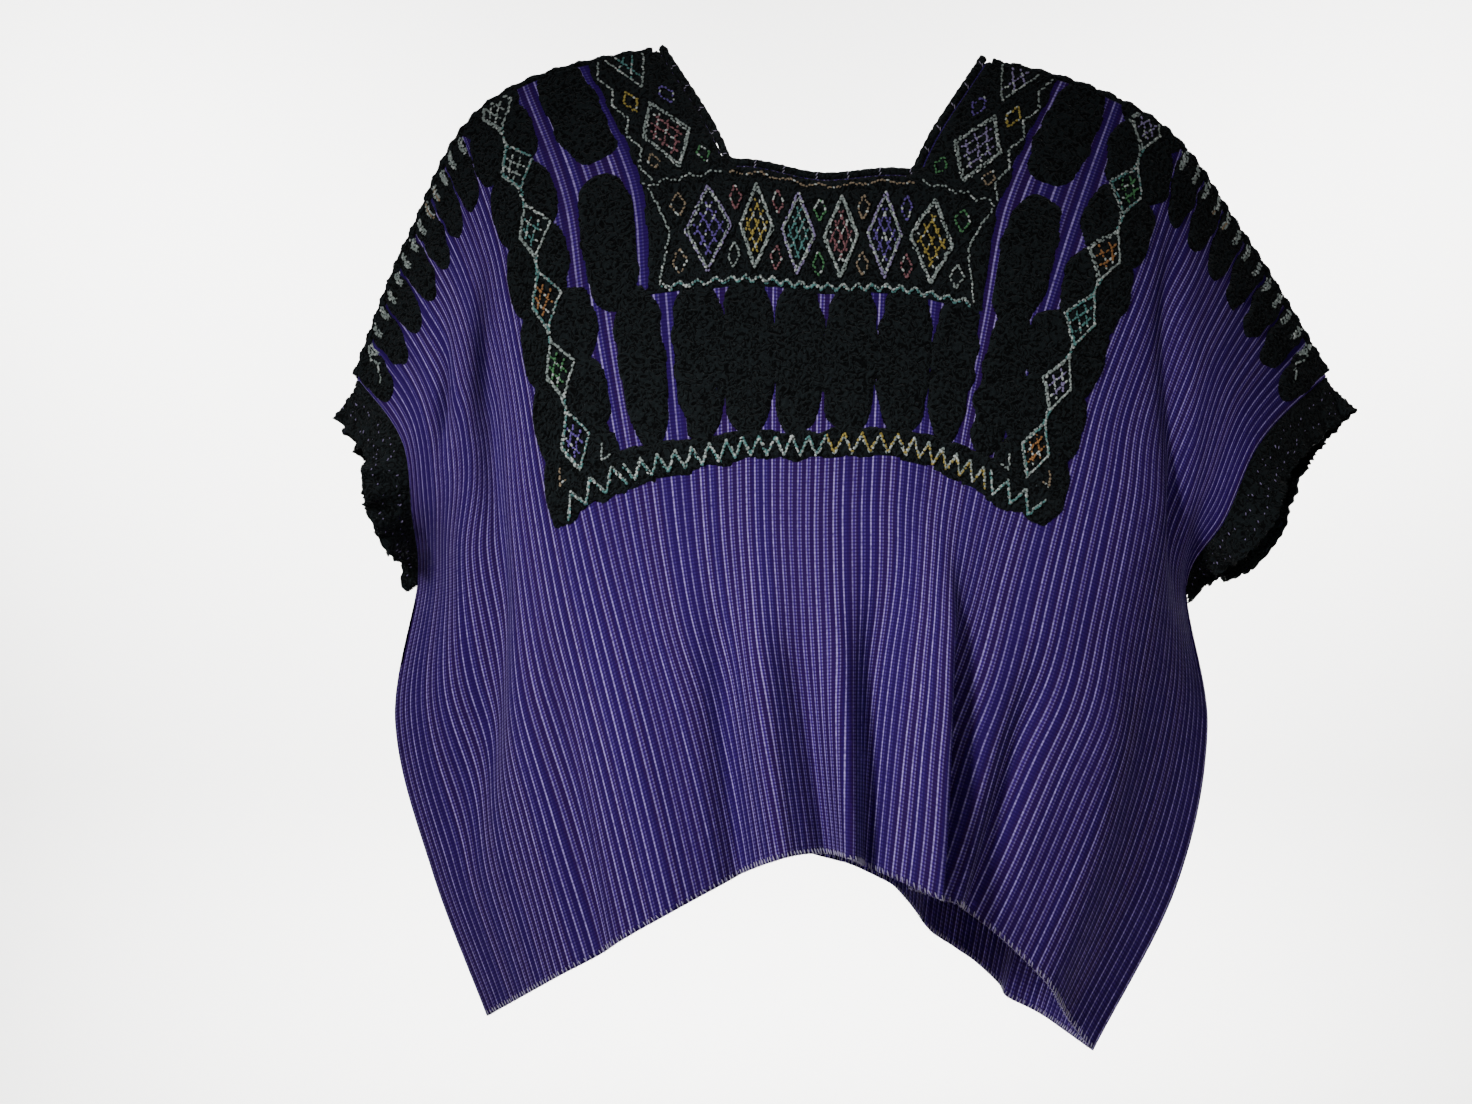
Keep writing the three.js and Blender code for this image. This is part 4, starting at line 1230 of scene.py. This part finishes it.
def soften(rows: np.ndarray, reach: int) -> np.ndarray:
    """Average each row with its neighbours round a ring."""
    return sum(np.roll(rows, k, axis=0) for k in range(-reach, reach + 1)) / (2 * reach + 1)


def sweep(name: str, sections: np.ndarray, ring: bool, material: bpy.types.Material) -> bpy.types.Object:
    """Join equal sections into one closed body.

    Args:
        name: the object's name.
        sections: the points of each section, in metres.
        ring: whether the last section joins the first.
        material: the body's material.

    Returns:
        The body.
    """
    count, sides = sections.shape[:2]
    i = np.arange(count if ring else count - 1)[:, None]
    k = np.arange(sides)[None, :]
    after = (i + 1) % count
    beside = (k + 1) % sides
    faces = np.stack(np.broadcast_arrays(i * sides + k, i * sides + beside, after * sides + beside,
                                         after * sides + k), axis=-1).reshape(-1, 4)
    points = sections.reshape(-1, 3)
    if not ring:
        ends = np.stack([sections[0].mean(axis=0), sections[-1].mean(axis=0)])
        fan = np.arange(sides)
        nearer = np.stack([np.full(sides, len(points)), (fan + 1) % sides, fan, fan], axis=1)
        last = (count - 1) * sides
        further = np.stack([np.full(sides, len(points) + 1), last + fan, last + (fan + 1) % sides,
                            last + (fan + 1) % sides], axis=1)
        points = np.concatenate([points, ends])
        triangles = np.concatenate([nearer[:, :3], further[:, :3]])
        faces = np.concatenate([faces[:, [0, 1, 2]], faces[:, [0, 2, 3]], triangles])
    corners = points[faces]
    volume = np.sum(corners[:, 0] * np.cross(corners[:, 1], corners[:, 2]))
    if faces.shape[1] == 4:
        volume += np.sum(corners[:, 0] * np.cross(corners[:, 2], corners[:, 3]))
    if volume < 0:
        faces = faces[:, ::-1]
    made = build_mesh(name, points, faces, [material])
    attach(made, "root")
    return made


@dataclass
class SleeveBand:
    """The black looped band round one armhole."""

    front: Drape
    back: Drape
    sign: int
    width: float = 34.0
    foot_share: float = 0.35
    taper: float = 110.0
    half_thickness: float = 1.5
    start: float = 0.4
    droop: float = 0.55
    look_back: float = 18.0
    wave_rise: float = 2.2
    wave_length: float = 46.0
    loop_rise: float = 0.8
    stations: int = 190
    rows: int = 26
    top: np.ndarray = field(init=False)
    run: np.ndarray = field(init=False)
    out: np.ndarray = field(init=False)
    normal: np.ndarray = field(init=False)

    def _edge(self, drape: Drape, v: np.ndarray) -> tuple[np.ndarray, np.ndarray, np.ndarray]:
        """Follow the armhole's edge on one panel.

        Args:
            drape: the panel.
            v: down the cut, in millimetres.

        Returns:
            The edge in metres, the way out of it and the cloth's normal.
        """
        u = np.full_like(v, self.sign * (HALF_WIDTH - SEAM_GAP))
        edge = drape.place(u, v)
        before = drape.place(u - self.sign * self.look_back, v)
        return edge, unit(edge - before), drape.normal(u, v)

    def build(self, name: str, replaced: str, material: bpy.types.Material) -> bpy.types.Object:
        """Build the band and stand it in for its solid.

        Args:
            name: the band's name.
            replaced: the solid it stands in for.
            material: the looped yarn.

        Returns:
            The band.
        """
        down_front = np.linspace(SHOULDER_EDGE, ARMHOLE_DROP, self.stations)
        parts = [self._edge(self.front, down_front), self._edge(self.back, down_front[::-1])]
        edge, outward, normal = (np.concatenate([a, b]) for a, b in zip(*parts))
        edge = soften(edge, 2)
        outward = unit(soften(outward, 9))
        run = unit(np.roll(edge, -2, axis=0) - np.roll(edge, 2, axis=0))
        level = across_run(outward, run)
        v = np.concatenate([down_front, down_front[::-1]])[:, None]
        full = np.minimum(1.0, self.foot_share + (1.0 - self.foot_share) * (ARMHOLE_DROP - v) / self.taper)
        width = self.width * full
        out = across_run(level + np.array([0.0, 0.0, -self.droop]), run)
        normal = across_run(soften(normal, 9), out)
        count = len(edge)
        wave = loop_noise((count, 2), 2.4, self.wave_length, 91 + self.sign)[:, :1]
        reach = width + 0.5 * loop_noise((count, 2), 2.4, 14.0, 71 + self.sign)[:, :1]
        share = np.linspace(0.0, 1.0, self.rows)[None, :]
        inner = (edge + level * self.start * MM)[:, None, :]
        middle = (edge + out * (width / 2) * MM)[:, None, :]
        end = edge[:, None, :] + out[:, None, :] * (reach * MM)[:, :, None]
        s = share[:, :, None]
        spine = np.where(s < 0.5, inner + (middle - inner) * (2 * s), middle + (end - middle) * (2 * s - 1))
        spine = spine + normal[:, None, :] * (wave * share**2 * self.wave_rise * MM)[:, :, None]
        loops = loop_noise((count, 2 * self.rows), 1.35, LOOP_SPACING, 5 + self.sign)
        loops = self.loop_rise * np.tanh(LOOP_SHARPNESS * loops)
        taper = np.minimum(1.0, 0.55 + share * 2.0)
        face = (self.half_thickness * taper + loops[:, :self.rows]) * MM
        lining = (self.half_thickness * taper + loops[:, self.rows:]) * MM
        top = spine + normal[:, None, :] * face[:, :, None]
        under = (spine - normal[:, None, :] * lining[:, :, None])[:, ::-1]
        self.top, self.run, self.out, self.normal = top, run, out, normal
        made = sweep(name, np.concatenate([top, under], axis=1), True, material)
        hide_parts(replaced)
        return made

    def build_specks(self, name: str, thread: bpy.types.Material) -> bpy.types.Object:
        """Sew the short pale stitches that show between the band's loops, in two loose rows.

        Args:
            name: the stitches' name.
            thread: the pale thread.

        Returns:
            The stitches as one mesh.
        """
        rng = np.random.default_rng(61 + self.sign)
        grains = []
        for row in (self.rows // 3, (2 * self.rows) // 3):
            for k in range(4, len(self.run) - 4, 6):
                spot = k + int(rng.integers(-3, 4))
                place = row + int(rng.integers(-2, 3))
                turn = rng.uniform(0.2, 1.3)
                along = unit(math.cos(turn) * self.out[spot] + math.sin(turn) * self.run[spot])
                axes = np.stack([along, np.cross(self.normal[spot], along), self.normal[spot]])
                size = np.array([rng.uniform(0.9, 1.6), 0.45, 0.45]) * MM
                grains.append((self.top[spot, place], size, axes))
        return sew_grains(name, grains, thread)


@dataclass
class NeckEdging:
    """The rolled black edging round the neck, whipped with a few pale ticks."""

    front: Drape
    back: Drape
    radius: float = 3.1
    gap: float = 0.7
    sides: int = 14
    tick_pitch: float = 23.0
    tick_size: tuple[float, float, float] = (1.9, 0.4, 0.4)
    down_points: int = 56
    across_points: int = 70

    def _half(self, drape: Drape, sign: int) -> tuple[np.ndarray, np.ndarray]:
        """Follow the neck's edge on one panel.

        Args:
            drape: the panel.
            sign: 1 to go round it from left to right and -1 to go back.

        Returns:
            The edging's centre in metres, and the cloth's normal.
        """
        down = np.linspace(0.4 * SHOULDER_EDGE, NECK_DROP - 1.6 * self.radius, self.down_points)
        side = np.full(self.down_points, sign * NECK_HALF_WIDTH)
        across = np.linspace(-NECK_HALF_WIDTH + 5.0, NECK_HALF_WIDTH - 5.0, self.across_points) * sign
        u = np.concatenate([-side, across, side])
        v = np.concatenate([down, np.full(self.across_points, NECK_DROP), down[::-1]])
        here = drape.place(u, v)
        sideways = unit(drape.place(u + 3.0, v) - drape.place(u - 3.0, v))
        downward = unit(drape.place(u, v + 3.0) - drape.place(u, np.maximum(0.0, v - 3.0)))
        inward = -np.sign(u * (v < NECK_DROP))[:, None]
        away = np.where(inward == 0, -across_run(downward, sideways), across_run(sideways, downward) * inward)
        return here + away * (self.radius + self.gap) * MM, drape.normal(u, v)

    def build(self, material: bpy.types.Material, tick: bpy.types.Material) -> list[bpy.types.Object]:
        """Build the edging and its ticks.

        Args:
            material: the edging's yarn.
            tick: the pale whipping thread.

        Returns:
            The edging and the ticks.
        """
        halves = self._half(self.front, 1), self._half(self.back, -1)
        centre, normal = (np.concatenate(pair) for pair in zip(*halves))
        centre = soften(centre, 2)
        run = unit(np.roll(centre, -1, axis=0) - np.roll(centre, 1, axis=0))
        up = across_run(soften(normal, 3), run)
        beside = np.cross(run, up)
        count = len(centre)
        angle = np.linspace(0.0, 2 * math.pi, self.sides, endpoint=False)[None, :]
        length = np.cumsum(np.linalg.norm(np.roll(centre, -1, axis=0) - centre, axis=1)) / MM
        twist = 0.28 * np.cos(3 * angle + length[:, None] * 2 * math.pi / 9.0)
        rough = 0.22 * loop_noise((count, self.sides), 2.0, 5.0, 23)
        radius = (self.radius - 0.3 + twist + rough)[:, :, None] * MM
        ring = centre[:, None, :] + radius * (np.cos(angle)[:, :, None] * beside[:, None, :]
                                              + np.sin(angle)[:, :, None] * up[:, None, :])
        made = sweep("neck_edging_roll", ring, True, material)
        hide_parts("neck_edging")
        marks = [k for k in range(count) if length[k] % self.tick_pitch < length[k - 1] % self.tick_pitch]
        grains = []
        for k in marks:
            for turn in (0.5, 1.4):
                out = math.cos(turn) * beside[k] + math.sin(turn) * up[k]
                side = np.cross(out, run[k])
                axes = np.stack([unit(side + 0.5 * run[k]), run[k], out])
                middle = centre[k] + out * (self.radius + 0.1) * MM
                grains.append((middle, np.array(self.tick_size) * MM, axes))
        return [made, sew_grains("neck_ticks", grains, tick)]


@dataclass
class ShoulderJoin:
    """The ribbed black join along one shoulder and sleeve top."""

    front: Drape
    back: Drape
    sign: int
    rib_pitch: float = 15.5
    rise: float = 3.4
    rib_rise: float = 1.5
    loop_rise: float = 0.6
    step: float = 1.3
    points_over: int = 13

    def build(self, name: str, replaced: str, material: bpy.types.Material) -> bpy.types.Object:
        """Build the join and stand it in for its solid.

        Args:
            name: the join's name.
            replaced: the solid it stands in for.
            material: the looped yarn.

        Returns:
            The join.
        """
        across = np.arange(NECK_HALF_WIDTH + 4.0, HALF_WIDTH - 2.0, self.step)
        u = self.sign * across
        v = np.full_like(u, SHOULDER_EDGE - 0.3)
        near = self.front.place(u, v, HALF_WALL)
        far = self.back.place(u, v, HALF_WALL)
        near_in = self.front.place(u, v, -HALF_WALL)
        far_in = self.back.place(u, v, -HALF_WALL)
        up = unit(self.front.normal(u, v) + self.back.normal(u, v))
        share = np.linspace(0.0, 1.0, self.points_over)[None, :, None]
        arch = np.sqrt(np.maximum(0.0, 1.0 - (2.0 * share - 1.0) ** 2))
        rib = 0.5 + 0.5 * np.cos(2 * math.pi * across / self.rib_pitch)
        loops = loop_noise((len(u), self.points_over), self.step, LOOP_SPACING, 61 + self.sign)
        loops = self.loop_rise * np.tanh(LOOP_SHARPNESS * loops)
        height = (self.rise + self.rib_rise * rib)[:, None, None] * arch + loops[:, :, None] * arch
        over = near[:, None, :] * (1 - share) + far[:, None, :] * share + up[:, None, :] * height * MM
        under = np.stack([far_in, near_in], axis=1)
        made = sweep(name, np.concatenate([over, under], axis=1), False, material)
        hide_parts(replaced)
        return made


@dataclass
class HemStitches:
    """The pale overcast stitches along one panel's hem, and their small spikes."""

    drape: Drape
    side: str
    seed: int
    pitch: float = 4.4

    def build(self, thread: bpy.types.Material) -> bpy.types.Object:
        """Sew the hem.

        Args:
            thread: the pale thread.

        Returns:
            The stitches as one mesh.
        """
        rng = np.random.default_rng(self.seed)
        u = np.arange(-HALF_WIDTH + 4.0, HALF_WIDTH - 3.0, self.pitch)
        u = u + rng.normal(0.0, 0.5, len(u))
        parts = []
        for height, lean in ((HALF_WALL + 0.2, 0.35), (-HALF_WALL - 0.2, -0.35)):
            slant = rng.normal(math.pi / 2 - lean, 0.14, len(u))
            parts.append((u, PANEL_LENGTH - 1.6, slant, rng.uniform(2.2, 3.0, len(u)), 0.42, 0.42, height))
        edge = np.arange(-HALF_WIDTH + 3.0, HALF_WIDTH - 3.0, 2.6)
        parts.append((edge, PANEL_LENGTH - 0.4, rng.normal(0.0, 0.2, len(edge)), 1.5, 0.6, 1.0, 0.0))
        rows = np.concatenate([np.stack(np.broadcast_arrays(*part), axis=1) for part in parts])
        place, turn, sizes, height = rows[:, :2], rows[:, 2], rows[:, 3:6], rows[:, 6]
        made = build_grains(f"{self.side}_hem_stitches", self.drape, place, turn, sizes, height, [thread],
                            np.zeros(len(place), dtype=int))
        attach(made, "root")
        return made


@dataclass(frozen=True)
class Lamp:
    """One lamp: its kind, its place, the point it looks at, its power and its own settings."""

    name: str
    kind: str
    place: tuple[float, float, float]
    aim: tuple[float, float, float]
    power: float
    settings: dict[str, float]

    def build(self) -> None:
        """Add the lamp to the scene."""
        lamp = bpy.data.lights.new(self.name, self.kind)
        lamp.energy = self.power
        for key, value in self.settings.items():
            setattr(lamp, key, value)
        light = bpy.data.objects.new(self.name, lamp)
        light.location = self.place
        light.rotation_euler = (Vector(self.aim) - light.location).to_track_quat("-Z", "Y").to_euler()
        bpy.context.scene.collection.objects.link(light)


MIDDLE = (0.0, 0.0, -0.35)
NARROW = {"size": 1.2, "spread": math.radians(70.0)}
SOFT_SPOT = {"spot_size": math.radians(18.5), "spot_blend": 1.0, "shadow_soft_size": 0.35}
LAMPS = [
    Lamp("key_light", "AREA", (0.5, -2.4, 0.9), MIDDLE, 7.0, {"size": 0.8}),
    Lamp("middle_light", "SPOT", (-1.35, -2.0, 0.55), (-0.06, -0.12, -0.42), 330.0, SOFT_SPOT),
    Lamp("fill_light", "AREA", (1.9, -1.8, 0.3), MIDDLE, 1.0, {"size": 2.2}),
    Lamp("back_light", "AREA", (0.5, 1.4, 1.6), MIDDLE, 9.0, {"size": 1.2}),
    Lamp("backdrop_light", "AREA", (-2.4, 1.7, 1.2), (-0.2, 3.2, -0.4), 110.0, NARROW),
    Lamp("other_backdrop_light", "AREA", (2.4, 1.7, 1.2), (0.2, 3.2, -0.4), 110.0, NARROW),
]


@dataclass(frozen=True)
class Studio:
    """A pale sweep of backdrop and floor far behind, a soft spot on the middle, and weak lights round it."""

    floor_level: float = -1.3
    wall_depth: float = 3.2
    wall_top: float = 5.0
    half_width: float = 6.0
    bend: float = 0.5
    world_colour: str = "#F2F1EE"
    world_strength: float = 0.05

    def build(self) -> None:
        """Build the backdrop, the world and the lamps."""
        profile = [(-self.half_width, self.floor_level)]
        for turn in np.linspace(0.0, math.pi / 2, 13):
            profile.append((self.wall_depth - self.bend + self.bend * math.sin(turn),
                            self.floor_level + self.bend - self.bend * math.cos(turn)))
        profile.append((self.wall_depth, self.wall_top))
        points = np.array([(side * self.half_width, y, z) for side in (-1, 1) for y, z in profile])
        count = len(profile)
        faces = np.array([(k, count + k, count + k + 1, k + 1) for k in range(count - 1)])
        backdrop = build_mesh("backdrop", points, faces, [BACKDROP_PAPER.build()])
        world = bpy.data.worlds.new("soft_room")
        bpy.context.scene.world = world
        world.use_nodes = True
        background = world.node_tree.nodes["Background"]
        background.inputs["Color"].default_value = linear(self.world_colour)
        background.inputs["Strength"].default_value = self.world_strength
        for lamp in LAMPS:
            lamp.build()


CAMERA_PLACE = (-0.0645, -2.2, -0.38)
CAMERA_SENSOR = 36.0
CAMERA_LENS = 71.7


def add_camera() -> None:
    """Add the camera: straight on, a little left of the middle, from 2.2 m, as in the photograph."""
    lens = bpy.data.cameras.new("front_camera")
    lens.sensor_width = CAMERA_SENSOR
    lens.lens = CAMERA_LENS
    camera = bpy.data.objects.new("front_camera", lens)
    camera.location = CAMERA_PLACE
    camera.rotation_euler = (math.pi / 2, 0.0, 0.0)
    bpy.context.scene.collection.objects.link(camera)
    bpy.context.scene.camera = camera


def main() -> None:
    """Build every piece in order and report it."""
    logging.basicConfig(level=logging.INFO, format="%(message)s")
    front = Drape(-1, FRONT_LEVELS, FRONT_FOLDS)
    back = Drape(1, BACK_LEVELS, BACK_FOLDS)
    cotton = RibbedCotton().build()
    wool = LoopedYarn().build()
    # The whipped wool takes the same painted grey highlight on its loops' crests
    cord_wool = LoopedYarn("whipped_black_wool", "#0C0F10").build()
    pale = COTTON_THREAD.build()
    threads = {yarn: metallic_thread(yarn).build() for yarn in Yarn}
    pieces = []
    for drape, side, yoke_seed, hem_seed in ((front, "front", 11, 31), (back, "back", 47, 37)):
        cloth = ClothPanel(drape, f"{side}_cloth", f"{side}_panel").build(cotton)
        sewing = Embroidery(drape, side, yoke_seed)
        loops = sewing.build_loops(wool)
        stitches = sewing.build_stitches(threads)
        hem = HemStitches(drape, side, hem_seed).build(pale)
        pieces += [cloth, *loops, stitches, hem]
    for sign, hand in ((-1, "left"), (1, "right")):
        join = ShoulderJoin(front, back, sign)
        pieces.append(join.build(f"{hand}_shoulder_join", f"shoulder_seam_{hand}", wool))
        sleeve_band = SleeveBand(front, back, sign)
        band = sleeve_band.build(f"{hand}_cuff_band", f"sleeve_band_{hand}", cord_wool)
        specks = sleeve_band.build_specks(f"{hand}_cuff_stitches", threads[Yarn.LAVENDER])
        pieces += [band, specks]
    pieces += NeckEdging(front, back).build(cord_wool, pale)
    Studio().build()
    add_camera()
    for piece in pieces:
        LOG.info("%s: %d faces", piece.name, len(piece.data.polygons))


if __name__ == "__main__":
    main()
